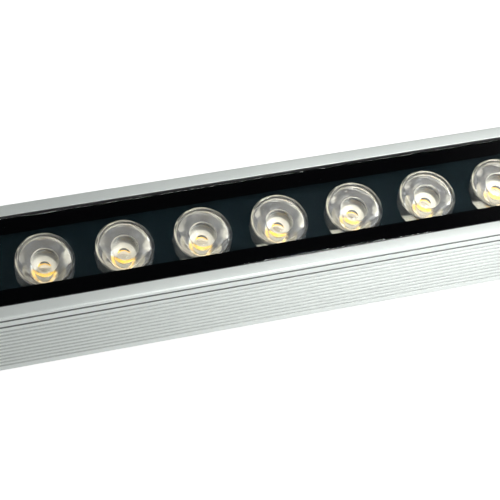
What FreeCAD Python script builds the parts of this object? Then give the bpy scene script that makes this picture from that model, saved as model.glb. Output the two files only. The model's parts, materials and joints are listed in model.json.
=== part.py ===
import FreeCAD, Part
import math
import os

import Sketcher

# Linear outdoor wall washer light, millimetres.
#
# Frame: X runs along the bar, Z points up and out of the glass, and the two feet stand on Z = 0.
# The origin is at the middle of the ground under the light. Every sub-part is a body whose sketches
# and features read their sizes from one sheet. Depths inside the housing are measured down from its
# front plane, so a body that sits in the housing has its own Z = 0 on that plane.

DRIVING_SIZES = {
    # the row of lenses, which sets the length of the bar
    "lens_count": 16,
    "lens_pitch": 30.0,
    "end_margin": 17.5,            # last lens centre to the end of the extrusion
    # extrusion
    "housing_width": 46.0,
    "lip_width": 4.7,              # metal on each side of the glass
    "side_wall": 2.7,
    "ledge_width": 1.5,            # step that carries the glass
    "ledge_thickness": 1.6,
    "web_thickness": 2.5,          # web between the lens chamber and the driver bay
    "rear_wall": 2.0,
    "corner_break": 0.6,
    # outside of the two side walls
    "groove_width": 1.2,
    "groove_cut": 1.5,
    "front_groove_depth": 2.75,    # groove centres below the front plane
    "rear_groove_depth": 7.7,
    "flute_count": 11,
    "flute_first": 11.6,
    "flute_last_margin": 4.65,     # last flute centre to the rear face
    "flute_width": 1.9,
    "flute_floor": 0.9,
    "flute_cut": 0.35,
    # rear T-slot
    "slot_mouth": 6.4,
    "slot_width": 11.0,
    "slot_height": 4.8,
    "slot_wall": 1.8,
    # screw channels for the end caps
    "boss_radius": 3.0,
    "boss_bore": 1.7,              # radius
    "boss_gap": 1.6,               # open side of the channel
    "boss_inset": 4.4,             # channel centre to the outside of the side wall
    # guide ribs for the face plate and the driver board
    "rib_thickness": 1.1,
    "rib_reach": 1.5,
    # glass
    "glass_thickness": 3.0,
    "bead_width": 0.4,             # silicone bead beside the glass
    "bead_recess": 0.3,
    "bed_thickness": 0.2,          # silicone bed between the print and the ledge
    "print_thickness": 0.1,
    "window_margin": 0.1,          # clear window wider than the lens holders, each side
    "window_shift": 0.3,           # the print lies a little to one side
    # lenses
    "lens_gap": 2.8,               # glass to the holder's rim
    "holder_radius": 11.0,
    "holder_height": 12.7,
    "holder_showing": 6.2,         # holder that stands out of the face plate
    "holder_wall": 0.8,
    "lens_sink": 0.9,              # lens face below the holder's rim
    "lens_flange": 1.6,
    "lens_foot_radius": 3.6,
    "lens_fit": 0.2,
    "pocket_fit": 0.4,             # lens pocket beside the emitter
    "pocket_headroom": 1.0,
    "emitter_side": 3.5,
    "emitter_base": 0.9,
    "bulb_radius": 1.5,            # silicone dome of the emitter
    "bulb_height": 1.1,
    "plate_thickness": 1.2,
    "plate_hole_fit": 0.15,
    "plate_end_gap": 1.0,
    "guide_fit": 0.1,
    # LED board
    "board_thickness": 1.6,
    "board_side_gap": 5.4,         # LED board to the side wall
    "board_overhang": 9.0,         # board past the last lens centre
    "board_screw_radius": 1.45,
    "board_screw_length": 5.0,
    "board_head_radius": 2.75,
    "board_head_height": 1.6,
    "board_screw_inset": 3.9,      # screw centre to the board's long edge
    "screw_fit": 0.05,
    "lead_hole_radius": 2.6,
    # driver
    "component_room": 11.0,        # web to the driver board
    "solder_gap": 2.2,             # driver board to the roof of the T-slot
    "driver_end_gap": 37.5,        # driver board to the end of the extrusion
    "driver_board_thickness": 1.6,
    "driver_fit": 0.3,
    "core_length": 16.0,
    "core_width": 16.0,
    "core_headroom": 1.0,          # left free over each component
    "bobbin_width": 12.0,
    "bobbin_length": 24.0,
    "bobbin_inset": 1.2,           # core top to the winding's top
    "capacitor_radius": 4.0,
    "capacitor_headroom": 2.0,
    "inductor_radius": 5.0,
    "inductor_headroom": 4.0,
    "chip_length": 10.0,
    "chip_width": 6.5,
    "chip_height": 2.2,
    "terminal_length": 12.0,
    "terminal_width": 30.0,
    "terminal_headroom": 2.5,
    "wire_radius": 0.8,
    "wire_inset": 1.8,             # LED lead's end to the board's edge
    "wire_rest": 0.1,              # through wires above the driver board
    "wire_lift": 2.4,              # LED lead above the LED board
    "wire_spacing": 2.4,
    "wire_side": 10.5,
    # ends
    "gasket_thickness": 1.5,
    "gasket_inset": 0.3,
    "gasket_hole_radius": 8.0,     # round the cable entry
    "cap_thickness": 6.0,
    "cap_corner": 1.2,
    "cap_edge": 1.0,
    "cap_screw_hole": 2.2,
    "cap_screw_radius": 1.65,
    "cap_head_radius": 3.5,
    "cap_head_height": 2.4,
    "cap_head_fit": 0.15,
    "cap_screw_length": 15.0,
    "cap_socket_flats": 2.5,
    "cap_socket_depth": 1.2,
    "entry_drop": 7.0,             # web to the cable entry
    # cable gland
    "gland_thread_radius": 6.0,
    "gland_thread_length": 8.0,
    "gland_fit": 0.05,
    "gland_washer_radius": 8.4,
    "gland_washer_thickness": 1.0,
    "gland_flats": 15.0,
    "gland_hex_length": 4.5,
    "collar_radius": 5.5,
    "collar_length": 10.0,
    "collar_bore": 4.6,
    "throat_radius": 4.2,          # bore behind the seal
    "cable_radius": 3.4,
    "seal_length": 8.0,
    "seal_fit": 0.05,
    "dome_gap": 0.3,               # hexagon to the dome nut
    "dome_skirt_length": 7.0,
    "dome_nose_length": 4.5,
    "dome_nose_radius": 5.2,
    "dome_mouth_radius": 4.0,
    "dome_end_wall": 1.7,
    # brackets
    "bracket_inset": 92.5,         # bracket centre to the end of the extrusion
    "slide_fit": 0.05,             # between the rear wall and what slides on it
    "slot_nut_side_fit": 0.4,
    "slot_nut_top_fit": 1.2,
    "slot_nut_length": 20.0,
    "bolt_radius": 2.5,
    "bolt_fit": 0.05,
    "thread_fit": 0.02,
    "clamp_grip": 0.6,             # clamp screw tip past the T-nut
    "head_radius": 4.75,
    "head_height": 2.75,
    "socket_flats": 3.0,
    "socket_depth": 1.5,
    "washer_radius": 5.0,
    "washer_thickness": 1.0,
    "sheet_thickness": 2.5,
    "bend_radius": 1.5,
    "yoke_width": 26.0,
    "ear_radius": 10.0,
    "pivot_drop": 13.0,            # pivot below the rear face
    "pivot_height": 27.0,          # pivot above the ground
    "pivot_clearance": 0.05,
    "nut_flats": 8.0,
    "nut_height": 4.0,
    "foot_length": 76.0,
    "foot_corner": 4.0,
    "anchor_spacing": 54.0,
    "anchor_width": 5.5,
    "anchor_length": 12.0,
}


class Size:
    """A length worked out from the sheet: its present value and the formula that gives it."""

    def __init__(self, value, formula):
        self.value = value
        self.formula = formula

    def _join(self, other, sign, value):
        return Size(value, "(" + self.formula + " " + sign + " " + size_of(other).formula + ")")

    def __add__(self, other):
        return self._join(other, "+", self.value + size_of(other).value)

    def __sub__(self, other):
        return self._join(other, "-", self.value - size_of(other).value)

    def __mul__(self, other):
        return self._join(other, "*", self.value * size_of(other).value)

    def __truediv__(self, other):
        return self._join(other, "/", self.value / size_of(other).value)

    def __neg__(self):
        return size_of(0) - self


def size_of(number):
    """Take a plain number, such as 0 or a side of -1, as a Size."""
    if isinstance(number, Size):
        return number
    return Size(float(number), "(" + repr(float(number)) + ")")


doc = FreeCAD.newDocument("wall_washer")
sheet = doc.addObject("Spreadsheet::Sheet", "sizes")
for row, (alias, number) in enumerate(DRIVING_SIZES.items(), start=1):
    sheet.set(f"A{row}", alias.replace("_", " "))
    sheet.set(f"B{row}", str(number))
    sheet.setAlias(f"B{row}", alias)
doc.recompute()


def cell(alias):
    """Read one driving dimension from the sheet."""
    return Size(float(sheet.get(alias)), "sizes." + alias)


def bind(feature, prop, size):
    """Bind a property of a feature to its formula."""
    feature.setExpression(prop, size_of(size).formula)


X_DIRECTION = FreeCAD.Vector(1, 0, 0)
Y_DIRECTION = FreeCAD.Vector(0, 1, 0)
Z_DIRECTION = FreeCAD.Vector(0, 0, 1)

# Small round pieces that repeat are drawn with this many flat sides.
ROUND_SIDES = 12
SMALL_SIDES = 8
BULB_SIDES = 6
SHANK_SIDES = 24
FLAT_RATIO = round(math.cos(math.pi / ROUND_SIDES), 9)

# ---- sizes that follow from the driving ones ----
LENS_COUNT = int(cell("lens_count").value)
LENS_PITCH = cell("lens_pitch")
FIRST_LENS = -(LENS_PITCH * (cell("lens_count") - 1) / 2)
HOUSING_HALF = cell("end_margin") - FIRST_LENS
HALF_WIDTH = cell("housing_width") / 2
GLASS_OPENING = HALF_WIDTH - cell("lip_width")
GLASS_HALF_WIDTH = GLASS_OPENING - cell("bead_width")
INNER_HALF_WIDTH = HALF_WIDTH - cell("side_wall")

PRINT_DEPTH = cell("glass_thickness")
BED_DEPTH = PRINT_DEPTH + cell("print_thickness")
LEDGE_DEPTH = BED_DEPTH + cell("bed_thickness")
CHAMBER_DEPTH = LEDGE_DEPTH + cell("ledge_thickness")
RIM_DEPTH = cell("glass_thickness") + cell("lens_gap")
PLATE_DEPTH = RIM_DEPTH + cell("holder_showing")
BOARD_DEPTH = RIM_DEPTH + cell("holder_height")
WEB_DEPTH = BOARD_DEPTH + cell("board_thickness")
BAY_DEPTH = WEB_DEPTH + cell("web_thickness")
DRIVER_DEPTH = BAY_DEPTH + cell("component_room")
SLOT_ROOF_DEPTH = DRIVER_DEPTH + cell("driver_board_thickness") + cell("solder_gap")
SLOT_TOP_DEPTH = SLOT_ROOF_DEPTH + cell("slot_wall")
REAR_WALL_DEPTH = SLOT_TOP_DEPTH + cell("slot_height")
HOUSING_DEPTH = REAR_WALL_DEPTH + cell("rear_wall")

BOSS_SIDE = HALF_WIDTH - cell("boss_inset")
FRONT_BOSS_DEPTH = LEDGE_DEPTH + cell("boss_radius")
REAR_BOSS_DEPTH = REAR_WALL_DEPTH - cell("boss_radius") * 0.8
BOARD_HALF_WIDTH = INNER_HALF_WIDTH - cell("board_side_gap")
DRIVER_HALF_LENGTH = HOUSING_HALF - cell("driver_end_gap")
LEAD_SIDE = (BOARD_HALF_WIDTH + INNER_HALF_WIDTH) / 2
LEAD_STATION = FIRST_LENS + LENS_PITCH * (cell("lens_count") - 2.5)

YOKE_HEIGHT = cell("pivot_height") + cell("pivot_drop")
REAR_HEIGHT = YOKE_HEIGHT + cell("slide_fit")
FRONT_HEIGHT = REAR_HEIGHT + HOUSING_DEPTH
CAP_START = HOUSING_HALF + cell("gasket_thickness")
CAP_FACE = CAP_START + cell("cap_thickness")
ENTRY_DEPTH = BAY_DEPTH + cell("entry_drop")
ENTRY_HEIGHT = FRONT_HEIGHT - ENTRY_DEPTH
BRACKET_PLACE = HOUSING_HALF - cell("bracket_inset")

YOKE_FACE = cell("yoke_width") / 2
FOOT_INNER = YOKE_FACE + cell("washer_thickness") + cell("pivot_clearance")
FOOT_FACE = FOOT_INNER + cell("sheet_thickness")
OUTER_WASHER = FOOT_FACE + cell("pivot_clearance")
HEAD_FACE = OUTER_WASHER + cell("washer_thickness")
RUNNING_BORE = cell("bolt_radius") + cell("bolt_fit")
THREAD_BORE = cell("bolt_radius") + cell("thread_fit")


# ---- helpers for bodies, sketches and features ----
def new_body(name, label=None):
    """Start a body, named after the piece it makes."""
    body = doc.addObject("PartDesign::Body", name)
    body.Label = label or name
    return body


def origin_feature(body, role):
    """Find one of a body's own origin planes or axes."""
    for feature in body.Origin.OriginFeatures:
        if feature.Role == role:
            return feature
    raise ValueError(role)


def new_sketch(body, name, plane, lift=0):
    """Start a sketch on an origin plane, moved along its normal by lift."""
    sketch = body.newObject("Sketcher::SketchObject", name)
    sketch.AttachmentSupport = [(origin_feature(body, plane), "")]
    sketch.MapMode = "FlatFace"
    bind(sketch, "AttachmentOffset.Base.z", lift)
    return sketch


def constrain(sketch, kind, *arguments):
    """Add a constraint whose last argument is a Size, and bind it."""
    *places, size = arguments
    size = size_of(size)
    index = sketch.addConstraint(Sketcher.Constraint(kind, *places, size.value))
    sketch.setExpression(f"Constraints[{index}]", size.formula)


def place_point(sketch, geometry, point, across, up):
    """Fix a point of a sketch element from the sketch's origin."""
    constrain(sketch, "DistanceX", -1, 1, geometry, point, across)
    constrain(sketch, "DistanceY", -1, 1, geometry, point, up)


def draw_outline(sketch, corners):
    """Draw a closed outline of straight lines through the corners."""
    corners = [(size_of(across), size_of(up)) for across, up in corners]
    points = [FreeCAD.Vector(across.value, up.value, 0) for across, up in corners]
    lines = []
    for start, end in zip(points, points[1:] + points[:1]):
        lines.append(sketch.addGeometry(Part.LineSegment(start, end)))
    for line, following in zip(lines, lines[1:] + lines[:1]):
        sketch.addConstraint(Sketcher.Constraint("Coincident", line, 2, following, 1))
    for line, (across, up) in zip(lines, corners):
        place_point(sketch, line, 1, across, up)


def draw_rectangle(sketch, left, low, right, high):
    """Draw a rectangle between two opposite corners."""
    draw_outline(sketch, [(left, low), (right, low), (right, high), (left, high)])


def draw_circle(sketch, across, up, radius):
    """Draw a circle about a fixed centre."""
    across, up, radius = size_of(across), size_of(up), size_of(radius)
    centre = FreeCAD.Vector(across.value, up.value, 0)
    circle = sketch.addGeometry(Part.Circle(centre, Z_DIRECTION, radius.value))
    constrain(sketch, "Radius", circle, radius)
    place_point(sketch, circle, 3, across, up)


def draw_hexagon(sketch, flats):
    """Draw a hexagon about the origin from its width across flats."""
    side = cell(flats) / math.sqrt(3)
    corners = []
    for step in range(6):
        turn = math.radians(60 * step)
        corners.append((side * round(math.cos(turn), 9), side * round(math.sin(turn), 9)))
    draw_outline(sketch, corners)


def draw_facets(sketch, radius, across=0, up=0, sides=ROUND_SIDES, clear=False):
    """Draw a regular outline: its corners lie on the circle, or its flats when it is to clear it."""
    across, up, radius = size_of(across), size_of(up), size_of(radius)
    if clear:
        radius = radius / round(math.cos(math.pi / sides), 9)
    corners = []
    for step in range(sides):
        turn = 2 * math.pi * (step + 0.5) / sides
        corners.append((across + radius * round(math.cos(turn), 9), up + radius * round(math.sin(turn), 9)))
    draw_outline(sketch, corners)


def draw_tombstone(sketch, radius, base, centre):
    """Draw a strip with a faceted round end about the centre height."""
    upright = 1 if size_of(centre).value > size_of(base).value else -1
    corners = [(radius * upright, base)]
    for step in range(ROUND_SIDES // 2 + 1):
        turn = 2 * math.pi * step / ROUND_SIDES
        across = radius * round(math.cos(turn), 9) * upright
        corners.append((across, centre + radius * round(math.sin(turn), 9) * upright))
    corners.append((radius * -upright, base))
    draw_outline(sketch, corners)


def add_feature(body, kind, name, sketch):
    """Add a feature that uses a sketch."""
    feature = body.newObject("PartDesign::" + kind, name)
    feature.Profile = sketch
    sketch.Visibility = False
    return feature


def pad_along(body, name, sketch, length, reverse=False):
    """Pad a sketch to one side."""
    pad = add_feature(body, "Pad", name, sketch)
    bind(pad, "Length", length)
    pad.Reversed = reverse
    return pad


def pad_both_ways(body, name, sketch, length):
    """Pad a sketch evenly to both sides of its plane."""
    pad = add_feature(body, "Pad", name, sketch)
    pad.SideType = "Symmetric"
    bind(pad, "Length", length)
    return pad


def cut_through(body, name, sketch):
    """Cut a sketch through the whole body, both ways, and check that it cut."""
    doc.recompute()
    before = body.Shape.Volume
    pocket = add_feature(body, "Pocket", name, sketch)
    pocket.SideType = "Symmetric"
    pocket.Type = "ThroughAll"
    doc.recompute()
    if body.Shape.Volume >= before:
        raise RuntimeError(name + " cuts nothing")
    return pocket


def cut_along(body, name, sketch, length, reverse=False):
    """Cut a sketch to one side by a length, and check that it cut."""
    doc.recompute()
    before = body.Shape.Volume
    pocket = add_feature(body, "Pocket", name, sketch)
    bind(pocket, "Length", length)
    pocket.Reversed = reverse
    doc.recompute()
    if body.Shape.Volume >= before:
        raise RuntimeError(name + " cuts nothing")
    return pocket


def repeat_along(body, name, features, axis, length, count, backwards=False):
    """Repeat features along one of the body's axes, over a length."""
    pattern = body.newObject("PartDesign::LinearPattern", name)
    pattern.Originals = features
    pattern.Direction = (origin_feature(body, axis), [""])
    pattern.Reversed = backwards
    bind(pattern, "Length", length)
    bind(pattern, "Occurrences", count)
    body.Tip = pattern
    return pattern


def pad_facets(body, name, plane, radius, start, length, sides=ROUND_SIDES, inner=None):
    """Pad a faceted rod from a distance along the plane's normal, or a tube when it has an inner radius."""
    sketch = new_sketch(body, name + "_outline", plane, start)
    draw_facets(sketch, radius, sides=sides)
    if inner is not None:
        draw_facets(sketch, inner, sides=sides)
    return pad_along(body, name, sketch, length)


def bevel_rim(body, name, axis, place, along, inward, sides=ROUND_SIDES):
    """Bevel a faceted rim at one place on an axis: a length along the axis and a step towards it."""
    def on_rim(edge):
        box = edge.BoundBox
        return near(getattr(box, axis + "Min"), place) and near(getattr(box, axis + "Max"), place)

    chamfer = finish_edges(body, "Chamfer", name, on_rim, "Size", along)
    chamfer.ChamferType = "Two distances"
    bind(chamfer, "Size2", inward * round(math.cos(math.pi / sides), 9))
    return chamfer


def bore_facets(body, name, plane, radius, start, length):
    """Cut a faceted bore from a distance along the plane's normal, onwards."""
    sketch = new_sketch(body, name + "_outline", plane, start)
    draw_facets(sketch, radius)
    return cut_along(body, name, sketch, length, reverse=True)


def cut_socket(body, name, plane, flats, top, depth):
    """Cut a hexagon socket down from a screw's top."""
    sketch = new_sketch(body, name + "_outline", plane, top)
    draw_hexagon(sketch, flats)
    return cut_along(body, name, sketch, depth)


def edges_where(body, rule):
    """Name the edges of a body's present shape that pass a rule on their box and kind."""
    doc.recompute()
    names = []
    for index, edge in enumerate(body.Shape.Edges, start=1):
        if rule(edge):
            names.append(f"Edge{index}")
    if not names:
        raise RuntimeError("no edge of " + body.Name + " fits the rule")
    return names


def finish_edges(body, kind, name, rule, prop, size):
    """Fillet or chamfer the edges that pass a rule."""
    names = edges_where(body, rule)
    base = body.Tip
    feature = body.newObject("PartDesign::" + kind, name)
    feature.Base = (base, names)
    bind(feature, prop, size)
    return feature


def runs_along(edge, direction):
    """Say if an edge is straight and parallel to a direction."""
    if not isinstance(edge.Curve, Part.Line):
        return False
    return abs(edge.tangentAt(edge.FirstParameter).dot(direction)) > 0.999


def near(first, second):
    """Say if two numbers are the same place."""
    return abs(first - size_of(second).value) < 0.001


def stand_at(feature, along=0, across=0, up=0):
    """Bind a piece's place."""
    bind(feature, "Placement.Base.x", along)
    bind(feature, "Placement.Base.y", across)
    bind(feature, "Placement.Base.z", up)


def gather(label, source, places):
    """Make a group of separate copies of one solid, each (x, y, z, turn about Z in degrees)."""
    copies = []
    for number, (along, across, up, turn) in enumerate(places, start=1):
        copy = doc.addObject("App::Link", f"{label}_{number}")
        copy.LinkedObject = source
        copy.Placement = FreeCAD.Placement(FreeCAD.Vector(), FreeCAD.Rotation(Z_DIRECTION, turn))
        stand_at(copy, along, across, up)
        copies.append(copy)
    group = doc.addObject("Part::Compound", label + "_group")
    group.Label = label
    group.Links = copies
    return group


# ---- housing extrusion ----
def make_housing():
    """The 46 mm square extrusion: lips, glass ledge, web, screw channels, T-slot, grooves and flutes."""
    body = new_body("housing_extrusion")
    length = HOUSING_HALF * 2
    block = new_sketch(body, "block_outline", "YZ_Plane")
    draw_rectangle(block, -HALF_WIDTH, -HOUSING_DEPTH, HALF_WIDTH, 0)
    pad_both_ways(body, "block", block, length)
    finish_edges(body, "Fillet", "rounded_corners", lambda edge: runs_along(edge, X_DIRECTION),
                 "Radius", cell("corner_break"))
    cut_chambers(body)
    add_ribs(body, length)
    add_screw_channels(body, length)
    add_slot(body, length)
    cut_sides(body)
    cut_web_holes(body)
    stand_at(body, up=FRONT_HEIGHT)
    return body


def cut_chambers(body):
    """Cut the glass channel, the lens chamber and the driver bay along the bar."""
    ledge_side = GLASS_OPENING - cell("ledge_width")
    chambers = [
        ("glass_channel", GLASS_OPENING, size_of(0), LEDGE_DEPTH),
        ("ledge_gap", ledge_side, LEDGE_DEPTH, CHAMBER_DEPTH),
        ("lens_chamber", INNER_HALF_WIDTH, CHAMBER_DEPTH, WEB_DEPTH),
        ("driver_bay", INNER_HALF_WIDTH, BAY_DEPTH, REAR_WALL_DEPTH),
    ]
    for name, half_width, top, bottom in chambers:
        outline = new_sketch(body, name + "_outline", "YZ_Plane")
        draw_rectangle(outline, -half_width, -bottom, half_width, -top)
        cut_through(body, name, outline)


def add_ribs(body, length):
    """Add the guide ribs that hold the face plate and the driver board on both side walls."""
    thickness = cell("rib_thickness")
    fit = cell("guide_fit")
    plate_bottom = PLATE_DEPTH + cell("plate_thickness")
    driver_bottom = DRIVER_DEPTH + cell("driver_board_thickness")
    tops = [
        PLATE_DEPTH - fit - thickness, plate_bottom + fit,
        DRIVER_DEPTH - fit - thickness, driver_bottom + fit,
    ]
    outline = new_sketch(body, "rib_outline", "YZ_Plane")
    for top in tops:
        for side in (1, -1):
            root = (INNER_HALF_WIDTH + cell("side_wall") / 2) * side
            tip = (INNER_HALF_WIDTH - cell("rib_reach")) * side
            draw_rectangle(outline, tip, -(top + thickness), root, -top)
    pad_both_ways(body, "guide_ribs", outline, length)


def add_screw_channels(body, length):
    """Add the four channels that the end cap screws cut their thread in."""
    outline = new_sketch(body, "channel_outline", "YZ_Plane")
    bores = new_sketch(body, "channel_bores", "YZ_Plane")
    gaps = new_sketch(body, "channel_gaps", "YZ_Plane")
    half_gap = cell("boss_gap") / 2
    for depth in (FRONT_BOSS_DEPTH, REAR_BOSS_DEPTH):
        for side in (1, -1):
            draw_facets(outline, cell("boss_radius"), BOSS_SIDE * side, -depth)
            draw_facets(bores, cell("boss_bore"), BOSS_SIDE * side, -depth, clear=True)
            inner = (BOSS_SIDE - cell("boss_radius") * 1.2) * side
            draw_rectangle(gaps, inner, -(depth + half_gap), BOSS_SIDE * side, -(depth - half_gap))
    pad_both_ways(body, "screw_channels", outline, length)
    cut_through(body, "screw_bores", bores)
    cut_through(body, "channel_openings", gaps)


def add_slot(body, length):
    """Add the T-slot along the middle of the rear wall, open to the outside."""
    outer = cell("slot_width") / 2 + cell("slot_wall")
    walls = new_sketch(body, "slot_walls_outline", "YZ_Plane")
    draw_rectangle(walls, -outer, -REAR_WALL_DEPTH, outer, -SLOT_ROOF_DEPTH)
    pad_both_ways(body, "slot_walls", walls, length)
    inside = cell("slot_width") / 2
    mouth = cell("slot_mouth") / 2
    slot = new_sketch(body, "slot_outline", "YZ_Plane")
    draw_outline(slot, [
        (-inside, -SLOT_TOP_DEPTH), (-inside, -REAR_WALL_DEPTH), (-mouth, -REAR_WALL_DEPTH),
        (-mouth, -HOUSING_DEPTH), (mouth, -HOUSING_DEPTH), (mouth, -REAR_WALL_DEPTH),
        (inside, -REAR_WALL_DEPTH), (inside, -SLOT_TOP_DEPTH),
    ])
    cut_through(body, "t_slot", slot)


def cut_sides(body):
    """Cut the two deep grooves and the row of shallow flutes in both side walls."""
    grooves = new_sketch(body, "groove_outline", "YZ_Plane")
    half_groove = cell("groove_width") / 2
    for depth in (cell("front_groove_depth"), cell("rear_groove_depth")):
        for side in (1, -1):
            floor = (HALF_WIDTH - cell("groove_cut")) * side
            outside = (HALF_WIDTH + cell("groove_cut")) * side
            draw_rectangle(grooves, floor, -(depth + half_groove), outside, -(depth - half_groove))
    cut_through(body, "deep_grooves", grooves)
    flute = new_sketch(body, "flute_outline", "YZ_Plane")
    mouth, floor = cell("flute_width") / 2, cell("flute_floor") / 2
    centre = -cell("flute_first")
    for side in (1, -1):
        outside = (HALF_WIDTH + cell("flute_cut")) * side
        face = HALF_WIDTH * side
        bottom = (HALF_WIDTH - cell("flute_cut")) * side
        draw_outline(flute, [
            (outside, centre - mouth), (face, centre - mouth), (bottom, centre - floor),
            (bottom, centre + floor), (face, centre + mouth), (outside, centre + mouth),
        ])
    first = cut_through(body, "first_flute", flute)
    run = HOUSING_DEPTH - cell("flute_last_margin") - cell("flute_first")
    repeat_along(body, "flutes", [first], "Z_Axis", run, cell("flute_count"), backwards=True)


def cut_web_holes(body):
    """Cut the screw holes for the LED board and the hole for its leads through the web."""
    holes = new_sketch(body, "board_screw_holes", "XY_Plane", -WEB_DEPTH)
    for along, across in board_screw_places():
        draw_facets(holes, cell("board_screw_radius") + cell("screw_fit"), along, across, SMALL_SIDES)
    draw_facets(holes, cell("lead_hole_radius"), LEAD_STATION, LEAD_SIDE)
    cut_along(body, "web_holes", holes, cell("web_thickness"))


def board_screw_places():
    """Places of the LED board's screws: in every fourth gap between lenses, on either side in turn."""
    places = []
    side = 1
    for gap in range(1, LENS_COUNT - 1, 4):
        along = FIRST_LENS + LENS_PITCH * (gap + 0.5)
        places.append((along, (BOARD_HALF_WIDTH - cell("board_screw_inset")) * side))
        side = -side
    return places


# ---- glass, print and silicone ----
def glass_half_length():
    """The glass stops a bead's width short of the end gaskets."""
    return HOUSING_HALF - cell("bead_width")


def make_glass():
    """Flat toughened glass, flush with the lips."""
    body = new_body("front_glass")
    outline = new_sketch(body, "glass_outline", "XY_Plane")
    half_length = glass_half_length()
    draw_rectangle(outline, -half_length, -GLASS_HALF_WIDTH, half_length, GLASS_HALF_WIDTH)
    pad_along(body, "glass", outline, cell("glass_thickness"), reverse=True)
    stand_at(body, up=FRONT_HEIGHT)
    return body


def make_print():
    """Black border printed on the underside of the glass, with one long clear window."""
    body = new_body("glass_border_print")
    outline = new_sketch(body, "border_outline", "XY_Plane", -PRINT_DEPTH)
    half_length = glass_half_length()
    draw_rectangle(outline, -half_length, -GLASS_HALF_WIDTH, half_length, GLASS_HALF_WIDTH)
    window_half = cell("holder_radius") + cell("window_margin")
    window_end = cell("holder_radius") + cell("window_margin") - FIRST_LENS
    shift = cell("window_shift")
    draw_rectangle(outline, -window_end, shift - window_half, window_end, shift + window_half)
    pad_along(body, "border", outline, cell("print_thickness"), reverse=True)
    stand_at(body, up=FRONT_HEIGHT)
    return body


def make_sealant():
    """Silicone round the edge of the glass and in a thin bed on the ledges."""
    body = new_body("glass_sealant")
    bead = new_sketch(body, "bead_outline", "XY_Plane", -cell("bead_recess"))
    half_length = glass_half_length()
    draw_rectangle(bead, -HOUSING_HALF, -GLASS_OPENING, HOUSING_HALF, GLASS_OPENING)
    draw_rectangle(bead, -half_length, -GLASS_HALF_WIDTH, half_length, GLASS_HALF_WIDTH)
    pad_along(body, "bead", bead, LEDGE_DEPTH - cell("bead_recess"), reverse=True)
    bed = new_sketch(body, "bed_outline", "XY_Plane", -BED_DEPTH)
    ledge_side = GLASS_OPENING - cell("ledge_width")
    for side in (1, -1):
        draw_rectangle(bed, -HOUSING_HALF, ledge_side * side, HOUSING_HALF, GLASS_OPENING * side)
    pad_along(body, "bed", bed, cell("bed_thickness"), reverse=True)
    stand_at(body, up=FRONT_HEIGHT)
    return body


# ---- lens chamber ----
def lens_places(depth):
    """Places of the lens row at one depth."""
    up = FRONT_HEIGHT - depth
    return [(FIRST_LENS + LENS_PITCH * number, 0, up, 0) for number in range(LENS_COUNT)]


def make_face_plate():
    """Black plate in the guide ribs, with a hole for each lens holder."""
    body = new_body("lens_face_plate")
    outline = new_sketch(body, "plate_outline", "XY_Plane", -PLATE_DEPTH)
    half_length = HOUSING_HALF - cell("plate_end_gap")
    half_width = INNER_HALF_WIDTH - cell("guide_fit")
    draw_rectangle(outline, -half_length, -half_width, half_length, half_width)
    pad_along(body, "plate", outline, cell("plate_thickness"), reverse=True)
    hole = new_sketch(body, "hole_outline", "XY_Plane", -PLATE_DEPTH)
    draw_facets(hole, cell("holder_radius") + cell("plate_hole_fit"), FIRST_LENS)
    first = cut_along(body, "first_hole", hole, cell("plate_thickness"))
    run = LENS_PITCH * (cell("lens_count") - 1)
    repeat_along(body, "lens_holes", [first], "X_Axis", run, cell("lens_count"))
    stand_at(body, up=FRONT_HEIGHT)
    return body


def make_lens_holders():
    """Open tubes on the LED board that keep the lenses upright and in line."""
    body = new_body("holder_tube")
    outer = cell("holder_radius")
    pad_facets(body, "tube", "XY_Plane", outer, 0, cell("holder_height"), inner=outer - cell("holder_wall"))
    return gather("lens_holders", body, lens_places(BOARD_DEPTH))


def make_lenses():
    """TIR lenses: round flange at the front, reflector that tapers to its foot, pocket over the emitter."""
    body = new_body("lens")
    face = cell("holder_height") - cell("lens_sink")
    shoulder = face - cell("lens_flange")
    radius = cell("holder_radius") - cell("holder_wall") - cell("lens_fit")
    pad_facets(body, "lens_body", "XY_Plane", radius, 0, face)
    bevel_rim(body, "reflector", "Z", size_of(0), shoulder, radius - cell("lens_foot_radius"))
    half = cell("emitter_side") / 2 + cell("pocket_fit")
    depth = cell("emitter_base") + cell("bulb_height") + cell("pocket_headroom")
    pocket = new_sketch(body, "pocket_outline", "XY_Plane")
    draw_rectangle(pocket, -half, -half, half, half)
    cut_along(body, "pocket", pocket, depth, reverse=True)
    return gather("tir_lenses", body, lens_places(BOARD_DEPTH))


def make_emitters():
    """LED emitters: square base with a low dome on the LED board."""
    body = new_body("emitter")
    half = cell("emitter_side") / 2
    base = new_sketch(body, "emitter_outline", "XY_Plane")
    draw_rectangle(base, -half, -half, half, half)
    pad_along(body, "emitter_base_block", base, cell("emitter_base"))
    radius = cell("bulb_radius")
    height = cell("bulb_height")
    pad_facets(body, "dome", "XY_Plane", radius, cell("emitter_base"), height, BULB_SIDES)
    top = cell("emitter_base") + height
    bevel_rim(body, "dome_top", "Z", top, height * 0.7, radius * 0.5, BULB_SIDES)
    return gather("led_emitters", body, lens_places(BOARD_DEPTH))


def make_led_board():
    """Metal core board on the web, with holes for its screws."""
    body = new_body("led_board")
    half_length = cell("board_overhang") - FIRST_LENS
    outline = new_sketch(body, "board_outline", "XY_Plane", -BOARD_DEPTH)
    draw_rectangle(outline, -half_length, -BOARD_HALF_WIDTH, half_length, BOARD_HALF_WIDTH)
    for along, across in board_screw_places():
        draw_facets(outline, cell("board_screw_radius") + cell("screw_fit"), along, across, SMALL_SIDES)
    pad_along(body, "board", outline, cell("board_thickness"), reverse=True)
    stand_at(body, up=FRONT_HEIGHT)
    return body


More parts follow.
